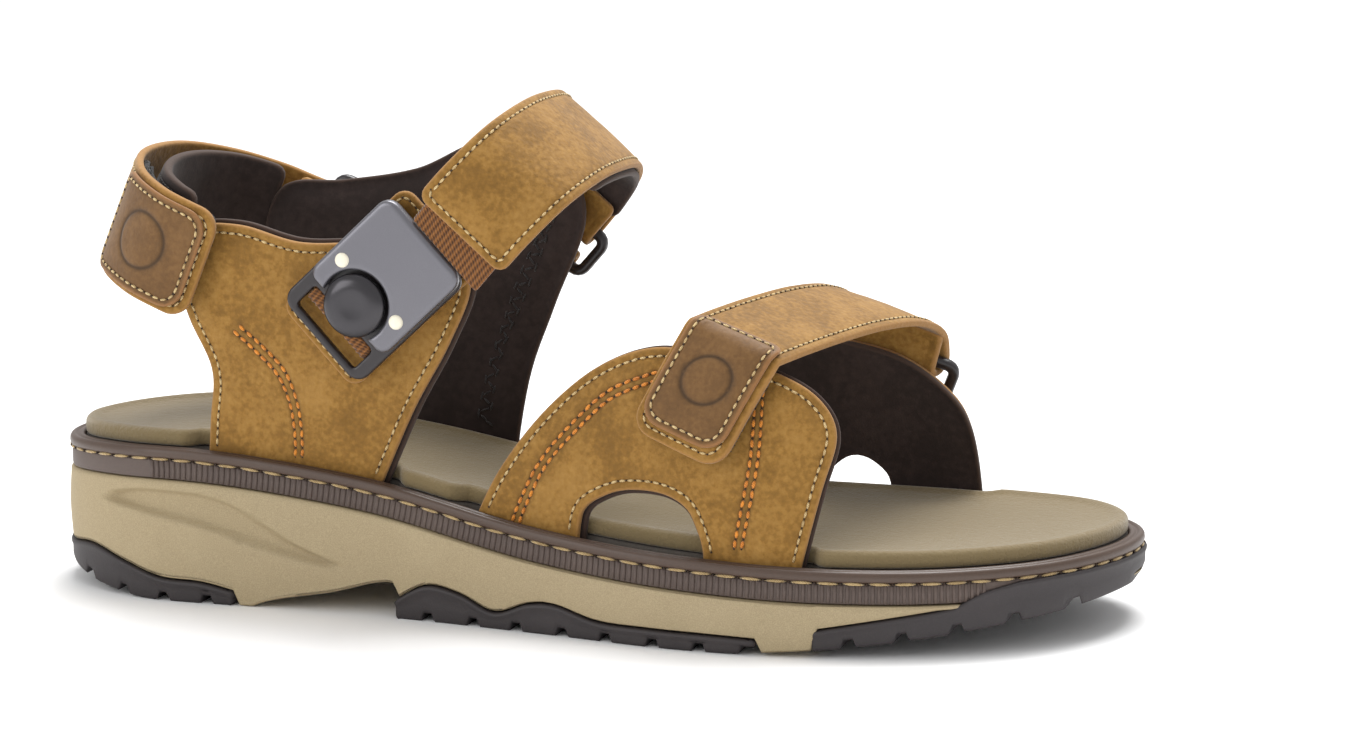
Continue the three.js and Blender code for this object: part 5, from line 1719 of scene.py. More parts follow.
@dataclass
class Uppers:
    """The four leather panels, their linings and their stitching."""

    finishes: "Finishes"
    lining_proud: float = 0.9
    row_inset: float = 2.4
    zigzag: tuple[float, float] = (8.5, 12.0)
    zigzag_reach: float = 24.0

    def build(self) -> None:
        """Builds every panel."""
        for seed, panel in enumerate(PANELS, 11):
            self.build_panel(panel, seed)

    def build_panel(self, panel: Panel, seed: int) -> None:
        """Builds one panel's leather, lining and stitches."""
        wall = Wall(panel.half, panel.side)
        pattern = panel.pattern()
        rows = [spline(seam, 40) for seam in panel.seams]
        leather = Sheet(
            panel.name + "_leather", pattern, wall, LAST.leather, stand=-LAST.leather / 2, corner=1.0,
            swell=0.35, seams=(self.row_inset,), furrows=rows, uneven=0.16, seed=seed)
        settle(leather.build(self.finishes["nubuck"]), Body.SANDAL, "nubuck", panel.name)
        proud = sideways(pattern, -self.lining_proud, True)
        depth = LAST.leather + LAST.gap + LAST.lining / 2
        lining = Sheet(
            panel.name + "_lining_pad", proud, wall, LAST.lining, stand=-depth, corner=0.7,
            puff=1.6 if panel.padded else 0.4, roll=0.5, uneven=0.12, seed=seed + 20, step=1.6, grid=3.2)
        piece = lining.build(self.finishes["brown lining"])
        settle(piece, Body.SANDAL, "lining", panel.name + "_lining")
        if panel.padded:
            self.sew_lining(panel, lining)

        def shown(p: Points) -> np.ndarray:
            """Whether a place is above the sole."""
            return p[:, 1] > LAST.cover_top(p[:, 0]) - 2.5

        edges = leather.row(self.row_inset, shown)
        sew(panel.name + "_stitches", edges, FINE, self.finishes, Body.SANDAL, seed)
        heavy = [leather.on_top(row, 0.12) for row in rows]
        sew(panel.name + "_heavy_stitches", heavy, DECORATIVE, self.finishes, Body.SANDAL, seed + 3)

    def sew_lining(self, panel: Panel, lining: Sheet) -> None:
        """Sews a zigzag down the lining, behind the panel's front edge."""
        loop = even(lining.pattern, 2.2, True)
        inset = np.where(np.arange(len(loop)) % 2, *self.zigzag)
        points = sideways(loop, inset, True)
        front = loop[:, 0].max() - self.zigzag_reach
        good = (loop[:, 0] > front) & (points[:, 1] > LAST.cover_top(points[:, 0]) + 1)
        start = int(np.argmin(good))
        points = np.roll(points, -start, 0)[np.roll(good, -start)]
        sew(panel.name + "_lining_stitches", [lining.beneath(points)], ZIGZAG, self.finishes, Body.SANDAL, 31)


# ------------------------------------------------------------------ rings and straps


@dataclass(frozen=True)
class RingSize:
    """Sizes shared by the three rings and the leather looped round them."""

    bar: float = 3.2
    opening: float = 9.0
    side_clearance: float = 1.8
    loop_clearance: float = 0.45
    tab_leg: float = 15.0
    tab_seam: float = 2.2
    fold: float = 10.0

    @property
    def reach(self) -> float:
        """From a ring's middle to the middle of a long bar."""
        return (self.opening + self.bar) / 2

    @property
    def loop(self) -> float:
        """Radius of the middle line of leather looped round a bar."""
        return self.bar * 0.62 + self.loop_clearance + LAST.leather / 2


RING = RingSize()


def place_ring(half: Half, x: float, z: float, pitch: float) -> Axes:
    """Axes of a ring on the medial wall: w along its bars, d up to its upper bar, q outwards."""
    def at(dx: float, dz: float) -> Points:
        """A point of the wall."""
        return np.array([x + dx, float(half(Side.MEDIAL, x + dx, z + dz)), z + dz])

    along_x, along_z = at(5, 0) - at(-5, 0), at(0, 5) - at(0, -5)
    along_x, along_z = along_x / np.linalg.norm(along_x), along_z / np.linalg.norm(along_z)
    turn = math.radians(pitch)
    w = along_x * math.cos(turn) - along_z * math.sin(turn)
    w /= np.linalg.norm(w)
    q = np.cross(along_z, along_x)
    q /= np.linalg.norm(q)
    origin = at(0, 0) + q * (2 * LAST.gap + LAST.leather / 2 + RING.loop)
    return Axes(q, np.cross(w, q), w, origin)


def strap_end(axes: Axes, ring: Axes, w: float) -> Points:
    """A strap's last stretch at w: down outside a ring's upper bar, round it and up inside."""
    bar = ring.point(0, RING.reach, 0)
    bar = bar + ring.w * ((w - bar @ axes.w) / (ring.w @ axes.w))
    tilt = math.atan2(-(ring.d @ axes.q), ring.d @ axes.d)
    angle = math.degrees(tilt)
    loop = arc((bar @ axes.q, bar @ axes.d), RING.loop, angle, angle - 180, 7 * FINER)
    up = np.array([-math.sin(tilt), math.cos(tilt)])
    return np.vstack([loop, loop[-1] + up * 0.4 * RING.fold, loop[-1] + up * RING.fold])


def arch(start: Points, end: Points, peak: float, shares: Sequence[tuple[float, float]]) -> Points:
    """Arch over the foot between two places, by shares of its span and of its rise."""
    share, rise = np.array(shares).T
    base = start[1] + (end[1] - start[1]) * share
    return np.column_stack([start[0] + (end[0] - start[0]) * share, base + (peak - base) * rise])


STRAP_SEAM = 2.4
BAR_ROWS = (3.0, 5.4)


def strap_rows(strap: Sheet, last: float) -> list[Points]:
    """Rows along a strap's edges, and the two across it that close its loop round a ring.

    Args:
        strap: the strap's leather.
        last: how far along the strap the edge rows go.

    Returns:
        Lines in space.
    """
    rows = strap.row(STRAP_SEAM, lambda p: p[:, 0] < last)
    return [*rows, *(strap.across(last - back, STRAP_SEAM) for back in BAR_ROWS)]


@dataclass
class Ring:
    """A plastic ring on the medial wall and the leather tab that holds its lower bar."""

    name: str
    finishes: "Finishes"
    half: Half
    x: float
    z: float
    pitch: float
    width: float
    body: Body
    ease: float = 0.0

    def __post_init__(self) -> None:
        """Works out its axes."""
        self.axes = place_ring(self.half, self.x, self.z, self.pitch)

    def build(self) -> None:
        """Builds the ring and its tab."""
        self.build_ring()
        self.build_tab()

    def build_ring(self) -> None:
        """Sweeps the bar round a rectangle with round corners."""
        half_w = (self.width + self.ease + 2 * RING.side_clearance + RING.bar) / 2
        half_d = RING.reach
        corner = 2.6
        runs = [
            arc((x * (half_w - corner), y * (half_d - corner)), corner, start, start + 90, 6)
            for x, y, start in ((1, 1, 0), (-1, 1, 90), (-1, -1, 180), (1, -1, 270))]
        flat = even(np.vstack(runs), 0.9, True)
        path = self.axes.origin + flat[:, :1] * self.axes.w + flat[:, 1:] * self.axes.d
        a = np.linspace(0, 2 * math.pi, 16, endpoint=False)
        r = RING.bar / 2
        round_square = np.column_stack([np.cos(a), np.sin(a)])
        round_square = np.sign(round_square) * np.abs(round_square) ** 0.75 * r
        ups = np.tile(self.axes.q, (len(path), 1))
        points, faces = sweep(path, ups, round_square, True)
        piece = make_object(self.name + "_ring_bar", points, faces, self.finishes["dark plastic"])
        settle(piece, self.body, "plastic", self.name + "_ring")

    def path(self, w: float) -> Points:
        """The tab's middle line: up beside the wall, round the bar and down over itself."""
        d = -RING.reach - np.array([1, 0.7, 0.4, 0.25]) * RING.tab_leg
        q = self.axes.wall(self.half, Side.MEDIAL, d, w) + LAST.gap + LAST.leather / 2
        leg = np.column_stack([q, d])
        swell = np.array([0.3, 0.5, 2.2, 3.6]) + LAST.leather
        outer = np.column_stack([q + swell, d])[::-1]
        return spline(np.vstack([leg, arc((0, -RING.reach), RING.loop, 180, 0, 6), outer]), 24 * FINER)

    def build_tab(self) -> None:
        """Builds the tab and its stitches."""
        course = Course(self.axes, 0, self.width, self.path)
        tab = Sheet(
            self.name + "_tab", band(0, course.length, self.width, 2.5, 2.5), course, LAST.leather,
            corner=1.0, swell=0.15, seams=(RING.tab_seam,), uneven=0.1, seed=31, step=1.0, grid=1.8)
        settle(tab.build(self.finishes["nubuck"]), Body.SANDAL, "nubuck", self.name + "_ring_tab")
        start = course.length - RING.tab_leg + 1
        rows = tab.row(RING.tab_seam, lambda p: p[:, 0] > start)
        rows.append(tab.across(start + 1.2, RING.tab_seam))
        sew(self.name + "_tab_stitches", rows, FINE, self.finishes, Body.SANDAL, 4)


@dataclass(frozen=True)
class Stack:
    """Thicknesses of what lies under and over a strap, and the heights that follow."""

    hook: float = 1.6
    loop: float = 1.1
    patch: float = 1.1

    @property
    def hook_stand(self) -> float:
        """From the strap's middle to the hook tape's."""
        return LAST.leather / 2 + LAST.gap + self.hook / 2

    @property
    def loop_stand(self) -> float:
        """From the strap's middle to the loop tape's."""
        return self.hook_stand + self.hook / 2 + LAST.gap + self.loop / 2

    @property
    def patch_stand(self) -> float:
        """From the strap's middle to the patch's."""
        return LAST.leather / 2 + LAST.gap + self.patch / 2

    @property
    def strap_stand(self) -> float:
        """From the wall to the strap's middle."""
        return 3 * LAST.gap + self.loop + self.hook + LAST.leather / 2


STACK = Stack()


@dataclass
class Closure:
    """The tapes and the patch at the free end of a strap that hooks down."""

    name: str
    finishes: "Finishes"
    course: Course
    width: float
    flap: Body
    hook_end: float
    loop_start: float
    loop_end: float
    patch_start: float
    patch_end: float
    corner: float = 6.0
    patch_seam: float = 1.9

    def build(self) -> None:
        """Builds hook tape, loop tape and patch."""
        hook_width = self.width - 1.6
        hook = Sheet(
            self.name + "_hook", band(0.8, self.hook_end, hook_width, self.corner, 1.5), self.course,
            STACK.hook, stand=-STACK.hook_stand, corner=0.5, uneven=0.03, seed=41)
        piece = hook.build(self.finishes["hook tape"])
        settle(piece, self.flap, "tape", self.name + "_hook_tape")
        bristles = grow(piece, self.name + "_hook_bristles", bristle_tree(), {
            "Density": 7e5, "Length": 0.5 * MM, "Thickness": 0.12 * MM, "Seed": 5,
            "Finish": self.finishes["hook tape"]})
        settle(bristles, self.flap, "tape")
        loop = Sheet(
            self.name + "_loop", band(self.loop_start, self.loop_end, hook_width - 2, 2, 2), self.course,
            STACK.loop, stand=-STACK.loop_stand, corner=0.5, uneven=0.05, seed=42)
        settle(loop.build(self.finishes["hook tape"]), Body.SANDAL, "tape", self.name + "_loop_tape")
        self.build_patch()

    def build_patch(self) -> None:
        """Builds the patch with its raised ring and its stitches."""
        width = self.width - 3
        middle = np.array([(self.patch_start + self.patch_end) / 2, 0.0])
        circle = middle + arc((0, 0), width * 0.27, 0, 360, 60)
        patch = Sheet(
            self.name + "_patch_leather",
            band(self.patch_start, self.patch_end, width, self.corner, self.corner * 0.7), self.course,
            STACK.patch, stand=STACK.patch_stand, corner=0.7, swell=0.15, seams=(self.patch_seam,),
            furrows=(circle,), uneven=0.06, seed=43, step=1.0, grid=1.6)
        piece = patch.build(self.finishes["patch leather"])
        settle(piece, self.flap, "patch", self.name + "_patch")
        sew(self.name + "_patch_stitches", patch.row(self.patch_seam), FINE, self.finishes, self.flap, 6)


# ------------------------------------------------------------------ forefoot strap


@dataclass
class ForefootStrap:
    """The strap over the toes' roots, from the lateral vamp to its medial ring."""

    finishes: "Finishes"
    width: float = 27.0
    middle: float = 30.0
    end: float = 65.5
    wall_end: float = 94.0
    peak: float = 99.0

    def build(self) -> None:
        """Builds the ring, the strap and its closure."""
        self.axes = Axes.strap(21, 18)
        ring = Ring(
            "forefoot", self.finishes, LAST.vamp_half, 73, 59.3, 21, self.width, Body.FOREFOOT_RING, 4.4)
        ring.build()
        self.ring = ring.axes
        course = Course(self.axes, self.middle, self.width, self.path)
        pattern = band(0, course.length, self.width, 6, 2)
        strap = Sheet(
            "forefoot_strap_leather", pattern, course, LAST.leather, corner=1.0, swell=0.25,
            seams=(STRAP_SEAM,), uneven=0.16, seed=51)
        settle(strap.build(self.finishes["nubuck"]), Body.FOREFOOT_FLAP, "nubuck", "forefoot_strap")
        rows = strap_rows(strap, course.at(21))
        sew("forefoot_strap_stitches", rows, FINE, self.finishes, Body.FOREFOOT_FLAP, 8)
        Closure(
            "forefoot", self.finishes, course, self.width, Body.FOREFOOT_FLAP, course.at(7),
            course.at(1), course.at(7), course.at(0) + 3.5, course.at(9)).build()

    def path(self, w: float) -> Points:
        """The strap's middle line at w."""
        d = self.end + (self.wall_end - self.end) * np.array([0, 0.3, 0.6, 1])
        wall = np.column_stack([self.axes.wall(LAST.vamp_half, Side.LATERAL, d, w), d])
        start = sideways(wall, STACK.strap_stand)
        end = strap_end(self.axes, self.ring, w)
        top = arch(start[3], end[0], self.peak, (
            (0.14, 0.66), (0.34, 0.95), (0.55, 1), (0.76, 0.86), (0.92, 0.52)))
        over = spline(np.vstack([start[3:], top, end[:1]]), 14 * FINER)
        return np.vstack([spline(start, 8 * FINER), over[1:-1], end])


# ------------------------------------------------------------------ heel strap


@dataclass
class HeelStrap:
    """The padded sling round the heel and the band over it, whose lateral end peels open."""

    finishes: "Finishes"
    width: float = 31.0
    middle: float = 50.0
    end: float = 122.0
    peak: float = 160.0
    hinge: tuple[float, float, float] = (-130.079, -9.545, 106.463)
    bend: float = 7.0
    sling: float = 4.0
    sling_start: float = 132.5
    sling_slack: float = 1.6
    sling_seam: float = 3.0

    def build(self) -> None:
        """Builds the ring, the band, its closure and the sling."""
        self.axes = Axes.strap(-68)
        ring = Ring(
            "heel", self.finishes, LAST.quarter_half, -86, 88.7, -68, self.width, Body.SANDAL)
        ring.build()
        self.ring = ring.axes
        course = Course(self.axes, self.middle, self.width + 4, self.path)
        hinge = course.nearest(np.array(self.hinge))
        strap = Sheet(
            "heel_band_leather", band(0, course.length, self.width, 6, 2), course, LAST.leather,
            corner=1.0, swell=0.25, seams=(STRAP_SEAM,), uneven=0.14, seed=61)
        piece = strap.build(self.finishes["nubuck"])
        settle(piece, None, "nubuck", "heel_strap", "heel_tab")
        rows = strap_rows(strap, course.at(27))
        pieces = sew("heel_band_stitches", rows, FINE, self.finishes, None, 9)
        flat = np.array([[hinge + self.bend, 0.0], [hinge - self.bend, 0.0]])
        fixed, free = (course.lay(flat, 0.0) + SHIFT) * MM
        for bending in (piece, *pieces):
            tuple(fixed)
            tuple(free)
            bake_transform(bending)
        Closure(
            "heel", self.finishes, course, self.width, Body.HEEL_FLAP, hinge - self.bend - 1,
            course.at(1), hinge - self.bend - 1, 2.4, min(course.at(9), hinge - self.bend - 1)).build()
        self.build_sling()

    def path(self, w: float) -> Points:
        """The band's middle line, the same all over its width."""
        lateral = float(self.axes.wall(LAST.quarter_half, Side.LATERAL, self.end, self.middle))
        lateral -= STACK.strap_stand
        start = np.array([[lateral, self.end], [lateral, self.end + 8]])
        end = strap_end(self.axes, self.ring, self.middle)
        top = arch(start[1], end[0], self.peak, (
            (0.02, 0.34), (0.12, 0.7), (0.3, 0.94), (0.5, 1), (0.7, 0.93), (0.87, 0.7), (0.96, 0.42),
            (0.98, 0.2)))
        over = spline(np.vstack([start[1:], top, end[:1]]), 24 * FINER)
        return np.vstack([spline(start, 3 * FINER), over[1:-1], end])

    def sling_path(self, w: float) -> Points:
        """The sling's middle line."""
        half = self.sling / 2
        start = np.array([-LAST.ankle_half[Side.LATERAL] + half, self.sling_start])
        end = np.array([LAST.ankle_half[Side.MEDIAL] - half, self.sling_start])
        peak = self.peak - STACK.loop_stand - STACK.loop / 2 - LAST.gap - half - self.sling_slack
        return spline(arch(start, end, peak, (
            (0, 0), (0.026, 0.3), (0.125, 0.67), (0.3, 0.92), (0.5, 1), (0.7, 0.92), (0.875, 0.67),
            (0.974, 0.3), (1, 0))), 22 * FINER)

    def build_sling(self) -> None:
        """Builds the padded sling and its quilting row."""
        course = Course(self.axes, self.middle, self.width + 6, self.sling_path)
        sling = Sheet(
            "heel_sling_pad", band(0, course.length, self.width + 2, 3, 3), course, self.sling - 1.4,
            stand=-0.2, corner=1.4, swell=0.7, puff=1.0, seams=(self.sling_seam,), uneven=0.2, seed=63,
            step=1.6, grid=2.6)
        piece = sling.build(self.finishes["brown lining"])
        settle(piece, Body.SANDAL, "lining", "heel_sling")
        sew("heel_sling_stitches", sling.row(self.sling_seam), BLACK, self.finishes, Body.SANDAL, 12)


# ------------------------------------------------------------------ instep strap and buckle


@dataclass
class Buckle:
    """The lateral buckle: anchor tab, webbing, frame, button, plate and rivets."""

    finishes: "Finishes"
    middle: tuple[float, float] = (-45.5, 88.5)
    slope: float = 43.0
    width: float = 31.0
    length: float = 42.0
    thickness: float = 2.6
    window: tuple[float, float] = (-18.8, -11.3)
    plate_start: float = -9.0
    plate: tuple[float, float, float] = (31.0, 30.0, 3.6)
    button_place: float = -5.5
    button_radius: float = 8.5
    stem: float = 5.1
    travel: float = 1.5
    rivet: float = 2.0
    rivet_place: tuple[float, float] = (6.0, 10.8)
    webbing: float = 1.5
    tab: float = 1.8
    margin: float = 3.4
    webbing_width: float = 22.5
    tab_seam: float = 1.8

    def __post_init__(self) -> None:
        """Works out its axes and the stand of each layer from the quarter's face."""
        turn = math.radians(self.slope)
        self.u = np.array([math.cos(turn), 0, math.sin(turn)])
        self.v = np.array([-math.sin(turn), 0, math.cos(turn)])
        self.out = np.array([0.0, -1.0, 0.0])
        self.anchor_face = LAST.gap
        self.webbing_face = self.anchor_face + self.tab + LAST.gap
        self.frame_face = self.webbing_face + self.webbing + LAST.gap
        self.plate_face = self.frame_face + self.thickness + LAST.gap

    def laid(self, stand: float, bow: float = 0.0) -> Plate:
        """The flat place at a stand-off from the quarter's face."""
        x, z = self.middle
        origin = np.array([x, -LAST.ankle_half[Side.LATERAL], z])
        return Plate(origin, self.u, self.v, self.out, stand, bow, self.plate[1] / 2)

    @staticmethod
    def rectangle(width: float, height: float, corner: float, shift: float = 0.0) -> Points:
        """A rectangle with round corners, counter-clockwise."""
        return band(shift - width / 2, shift + width / 2, height, corner, corner)

    def build(self) -> None:
        """Builds every piece of the buckle."""
        tab = Sheet(
            "buckle_tab_leather",
            self.rectangle(self.length + 2 * self.margin, self.width - 1, 4), self.laid(self.anchor_face),
            self.tab, stand=self.tab / 2, corner=0.8, seams=(self.tab_seam,), uneven=0.08, seed=71)
        settle(tab.build(self.finishes["nubuck"]), Body.SANDAL, "nubuck", "buckle_anchor_tab")
        sew("buckle_tab_stitches", tab.row(self.tab_seam), FINE, self.finishes, Body.SANDAL, 14)
        self.build_frame()
        self.build_plate()
        self.build_button()
        self.build_webbing()

    def build_frame(self) -> None:
        """Builds the frame with its window and its bore."""
        start, end = self.window
        window = self.rectangle(end - start, self.width - 8, 1, (start + end) / 2)
        bore = arc((self.button_place, 0), self.stem + LAST.gap, 0, 360, 40)[:-1]
        frame_sheet = Sheet(
            "buckle_frame_body", self.rectangle(self.length, self.width, 4), self.laid(self.frame_face),
            self.thickness, stand=self.thickness / 2, corner=0.8, uneven=0.0, holes=(window, bore),
            step=0.9, grid=2.0)
        piece = frame_sheet.build(self.finishes["dark plastic"])
        settle(piece, Body.SANDAL, "plastic", "buckle_frame")

    def build_plate(self) -> None:
        """Builds the crowned plate, notched round the button, and its rivets."""
        long, wide, thick = self.plate
        left, right, y, corner = self.plate_start, self.plate_start + long, wide / 2, 4.0
        notch = self.button_radius + 1
        reach = math.sqrt(notch**2 - (left - self.button_place) ** 2)
        angle = math.degrees(math.atan2(reach, left - self.button_place))
        pattern = np.vstack([
            arc((left + 3, -y + 3), 3, 180, 270, 8), arc((right - corner, -y + corner), corner, 270, 360, 8),
            arc((right - corner, y - corner), corner, 0, 90, 8), arc((left + 3, y - 3), 3, 90, 180, 8),
            arc((self.button_place, 0), notch, angle, -angle, 40)])
        plate = Sheet(
            "buckle_plate_metal", pattern, self.laid(self.plate_face, 0.14), thick, stand=thick / 2,
            corner=1.3, uneven=0.0, step=0.8, grid=1.6)
        piece = plate.build(self.finishes["gunmetal"])
        settle(piece, Body.INSTEP_BAND, "gunmetal", "buckle_plate")
        r = self.rivet
        dome = np.array([
            (0, -0.6), (r, -0.6), (r, 0.15), (r * 0.93, 0.45), (r * 0.75, 0.72), (r * 0.45, 0.9), (0, 0.98)])
        for sign, name in ((-1, "front"), (1, "rear")):
            place_at = (self.button_place + self.rivet_place[0], sign * self.rivet_place[1])
            self.build_turned(
                f"rivet_{name}_dome", dome, place_at, self.plate_face + thick * 0.9 - 0.1, "cream stud",
                Body.INSTEP_BAND, "rivet", "buckle_rivet_" + name)

    def build_turned(
        self, name: str, profile: Points, at: tuple[float, float], stand: float, finish: str, body: Body,
        slot: str, node: str,
    ) -> None:
        """Builds a turned piece that faces out of the buckle at a place of its plane."""
        points, faces = turned(profile, 36)
        surface = self.laid(stand)
        flat = points[:, :2] + np.array(at)
        base = surface.middle + flat[:, :1] * self.u + flat[:, 1:] * self.v
        points = base + (stand + points[:, 2:]) * self.out
        piece = make_object(name, points, faces, self.finishes[finish])
        settle(piece, body, slot, node)

    def build_button(self) -> None:
        """Builds the domed release button with its dimple."""
        r, floor = self.button_radius, self.thickness + LAST.gap + self.travel
        low = self.travel - 1
        profile = np.array([
            (0, low), (self.stem - 0.3, low), (self.stem, low + 0.3), (self.stem, floor),
            (r - 0.4, floor), (r, floor + 0.4), (r, floor + 1.5), (r * 0.985, floor + 1.9),
            (r * 0.94, floor + 2.3), (r * 0.86, floor + 2.75), (r * 0.76, floor + 3.1),
            (r * 0.64, floor + 3.35), (r * 0.5, floor + 3.45), (r * 0.36, floor + 3.35),
            (r * 0.2, floor + 3.2), (0, floor + 3.15)])
        self.build_turned(
            "release_button_cap", profile, (self.button_place, 0), self.frame_face, "button metal",
            Body.BUTTON, "plastic", "buckle_button")

    def build_webbing(self) -> None:
        """Builds the webbing that holds the frame's lower bar."""
        low = -(self.thickness / 2 + LAST.gap * 2 + self.webbing / 2)
        path = np.vstack([
            [(-11.0, low), (-12.5, low)], arc((-13.9, low + 1.1), 1.1, -90, -270, 16),
            [(-13.0, low + 2.2), (-11.5, low + 2.2)]])
        x, z = self.middle
        stand = self.frame_face + self.thickness / 2
        origin = np.array([x, -LAST.ankle_half[Side.LATERAL] - stand, z])
        course = Course(Axes(self.u, self.out, self.v, origin), 0, self.webbing_width, lambda w: path)
        sheet = Sheet(
            "anchor_webbing_loop", band(0, course.length, self.webbing_width, 0.8, 0.8), course,
            self.webbing, corner=0.6, uneven=0.04, ribs=1.5, step=0.6, grid=0.5)
        settle(sheet.build(self.finishes["ribbed webbing"]), Body.SANDAL, "webbing", "anchor_webbing")


@dataclass
class InstepStrap:
    """The band over the instep, from its medial ring to the plate of the lateral buckle."""

    finishes: "Finishes"
    buckle: Buckle
    width: float = 30.0
    middle: float = -83.5
    end: float = 66.0
    peak: float = 97.0
    webbing: float = 1.5
    webbing_width: float = 25.0

    def build(self) -> None:
        """Builds the ring, the strap, its lining and its webbing."""
        self.axes = Axes.strap(41)
        ring = Ring(
            "instep", self.finishes, LAST.quarter_half, -23.7, 100, 41, self.width, Body.INSTEP_RING)
        ring.build()
        self.ring = ring.axes
        course = Course(self.axes, self.middle, self.width, self.path)
        strap = Sheet(
            "instep_strap_leather", band(0, course.length, self.width, 3, 2), course, LAST.leather,
            corner=1.0, swell=0.3, seams=(STRAP_SEAM,), uneven=0.16, seed=81)
        settle(strap.build(self.finishes["nubuck"]), Body.INSTEP_BAND, "nubuck", "instep_strap")
        rows = strap_rows(strap, course.at(25))
        sew("instep_strap_stitches", rows, FINE, self.finishes, Body.INSTEP_BAND, 15)
        lining = Sheet(
            "instep_strap_pad", band(course.at(8), course.at(22), self.width + 1.6, 3, 3),
            Course(self.axes, self.middle, self.width + 4, self.path), LAST.lining,
            stand=-(LAST.leather / 2 + LAST.gap + LAST.lining / 2), corner=0.7, puff=0.9, roll=0.5,
            uneven=0.1, seed=82)
        piece = lining.build(self.finishes["brown lining"])
        settle(piece, Body.INSTEP_BAND, "lining", "instep_strap_lining")
        self.build_webbing()

    @property
    def webbing_q(self) -> float:
        """Place across the foot of the webbing's middle at the plate."""
        stand = self.buckle.plate_face + self.buckle.plate[2] / 2
        return -LAST.ankle_half[Side.LATERAL] - stand

    @property
    def webbing_stand(self) -> float:
        """From the strap's middle line to the webbing's."""
        return LAST.leather / 2 + LAST.gap + self.webbing / 2

    def path(self, w: float) -> Points:
        """The strap's middle line, the same all over its width."""
        start = np.array([self.webbing_q - self.webbing_stand, self.end])
        end = strap_end(self.axes, self.ring, self.middle)
        over = spline(arch(start, end[0], self.peak, (
            (0, 0), (0.015, 0.34), (0.11, 0.74), (0.3, 0.96), (0.5, 1), (0.7, 0.94), (0.88, 0.72),
            (0.97, 0.4), (1, 0.12), (1, 0))), 26 * FINER)
        return np.vstack([over[:-1], end])

    def webbing_path(self, w: float) -> Points:
        """The webbing's middle line: from the plate's edge up under the strap."""
        x, z = self.buckle.middle
        edge = np.array([x, 0, z])
        edge = edge + self.buckle.u * (self.buckle.plate_start + self.buckle.plate[0] + LAST.gap)
        d, along = self.axes.d, self.axes.w
        foot = edge @ d + (w - edge @ along) * (self.buckle.v @ d) / (self.buckle.v @ along)
        under = sideways(self.path(w), -self.webbing_stand)[:7 * FINER + 1]
        return np.vstack([[(self.webbing_q, foot)], under])

    def build_webbing(self) -> None:
        """Builds the ribbed webbing between the strap and the plate."""
        course = Course(self.axes, self.middle, self.webbing_width, self.webbing_path)
        sheet = Sheet(
            "instep_webbing_band", band(0, course.length, self.webbing_width, 0.8, 2), course,
            self.webbing, corner=0.6, uneven=0.04, ribs=1.5, step=0.6, grid=0.5)
        piece = sheet.build(self.finishes["ribbed webbing"])
        settle(piece, Body.INSTEP_BAND, "webbing", "instep_webbing")


# ------------------------------------------------------------------ studio


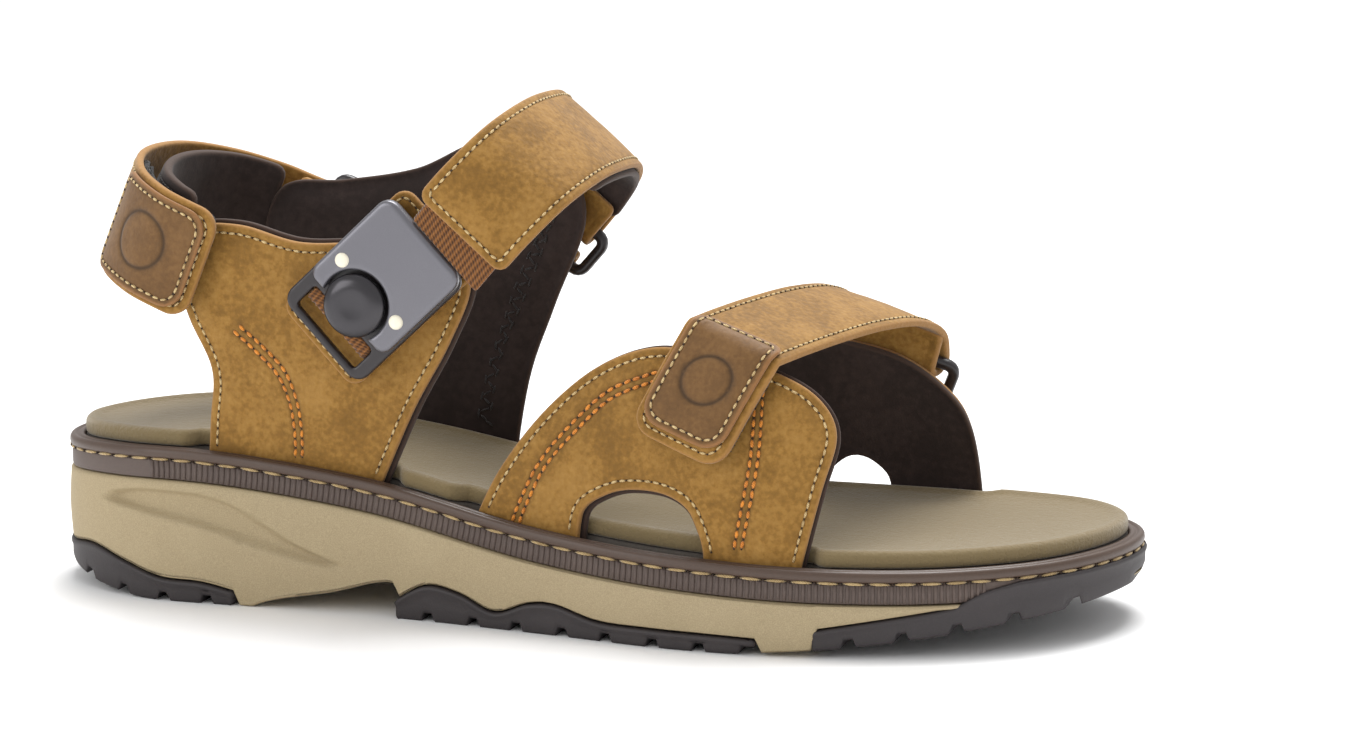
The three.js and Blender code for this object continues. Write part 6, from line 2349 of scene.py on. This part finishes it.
@dataclass
class Studio:
    """Pale floor, soft light and the camera."""

    azimuth: float = 16.0
    elevation: float = 9.5
    distance: float = 1.0
    target: tuple[float, float, float] = (0.025, 0.0, 0.064)
    lens: float = 99.07

    def build(self) -> None:
        """Builds the set."""
        self.build_floor()
        self.build_world()
        self.add_light("overhead", (0.05, 0.35, 1.1), size=0.9, power=11.0)
        self.add_sun()
        self.add_light("side", (-1.1, -1.3, 0.7), size=0.9, power=8.0)
        self.add_camera()

    def build_floor(self) -> None:
        """Builds the floor."""
        size = 6.0
        mesh = bpy.data.meshes.new("floor")
        mesh.from_pydata(
            [(-size, -size, 0), (size, -size, 0), (size, size, 0), (-size, size, 0)], [], [(0, 1, 2, 3)])
        material, _, shader = new_material("pale floor", 0.9)
        shader.inputs["Base Color"].default_value = (0.93, 0.93, 0.93, 1)
        shader.inputs["Specular IOR Level"].default_value = 0.05
        mesh.materials.append(material)
        floor = bpy.data.objects.new("floor", mesh)
        bpy.context.scene.collection.objects.link(floor)

    def build_world(self) -> None:
        """Lights everything with a soft white sky."""
        world = bpy.data.worlds.new("studio")
        world.use_nodes = True
        background = world.node_tree.nodes["Background"]
        background.inputs[0].default_value = (1, 1, 1, 1)
        n = Nodes(world.node_tree)
        seen = n.add("ShaderNodeLightPath").outputs["Is Camera Ray"]
        n.tree.links.new(n.math("MAXIMUM", seen, 0.72), background.inputs[1])
        bpy.context.scene.world = world
        bpy.context.scene.view_settings.view_transform = "Standard"

    def add_light(
        self, name: str, place_at: tuple[float, float, float], size: float, power: float
    ) -> None:
        """Adds a soft light that faces the shoe."""
        light = bpy.data.lights.new(name, "AREA")
        light.size = size
        light.energy = power
        lamp = bpy.data.objects.new(name, light)
        lamp.location = place_at
        away = Vector(place_at) - Vector(self.target)
        lamp.rotation_euler = away.to_track_quat("Z", "Y").to_euler()
        bpy.context.scene.collection.objects.link(lamp)

    def add_sun(self) -> None:
        """Adds a broad even light from behind and above."""
        light = bpy.data.lights.new("even", "SUN")
        light.energy = 1.5
        light.angle = math.radians(30)
        lamp = bpy.data.objects.new("even", light)
        lamp.rotation_euler = (math.radians(-24), 0, 0)
        bpy.context.scene.collection.objects.link(lamp)

    def add_camera(self) -> None:
        """Adds the camera at the viewing angle."""
        a, e = math.radians(self.azimuth), math.radians(self.elevation)
        back = Vector((math.sin(a) * math.cos(e), -math.cos(a) * math.cos(e), math.sin(e)))
        camera = bpy.data.cameras.new("camera")
        camera.lens = self.lens
        camera.sensor_width = 36
        holder = bpy.data.objects.new("camera", camera)
        holder.location = Vector(self.target) + back * self.distance
        holder.rotation_euler = back.to_track_quat("Z", "Y").to_euler()
        bpy.context.scene.collection.objects.link(holder)
        bpy.context.scene.camera = holder


def dress_frame(finishes: "Finishes") -> None:
    """Gives the shank, which stays as the solid model has it, its finish."""
    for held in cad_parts["shank"].material_slots:
        held.material = finishes["spring steel"]


def main() -> None:
    """Builds the whole scene."""
    logging.basicConfig(level=logging.INFO, format="%(name)s: %(message)s")
    Studio().build()
    finishes = Finishes()
    dress_frame(finishes)
    Sole(finishes).build()
    Uppers(finishes).build()
    ForefootStrap(finishes).build()
    HeelStrap(finishes).build()
    buckle = Buckle(finishes)
    buckle.build()
    InstepStrap(finishes, buckle).build()


if __name__ == "__main__":
    main()
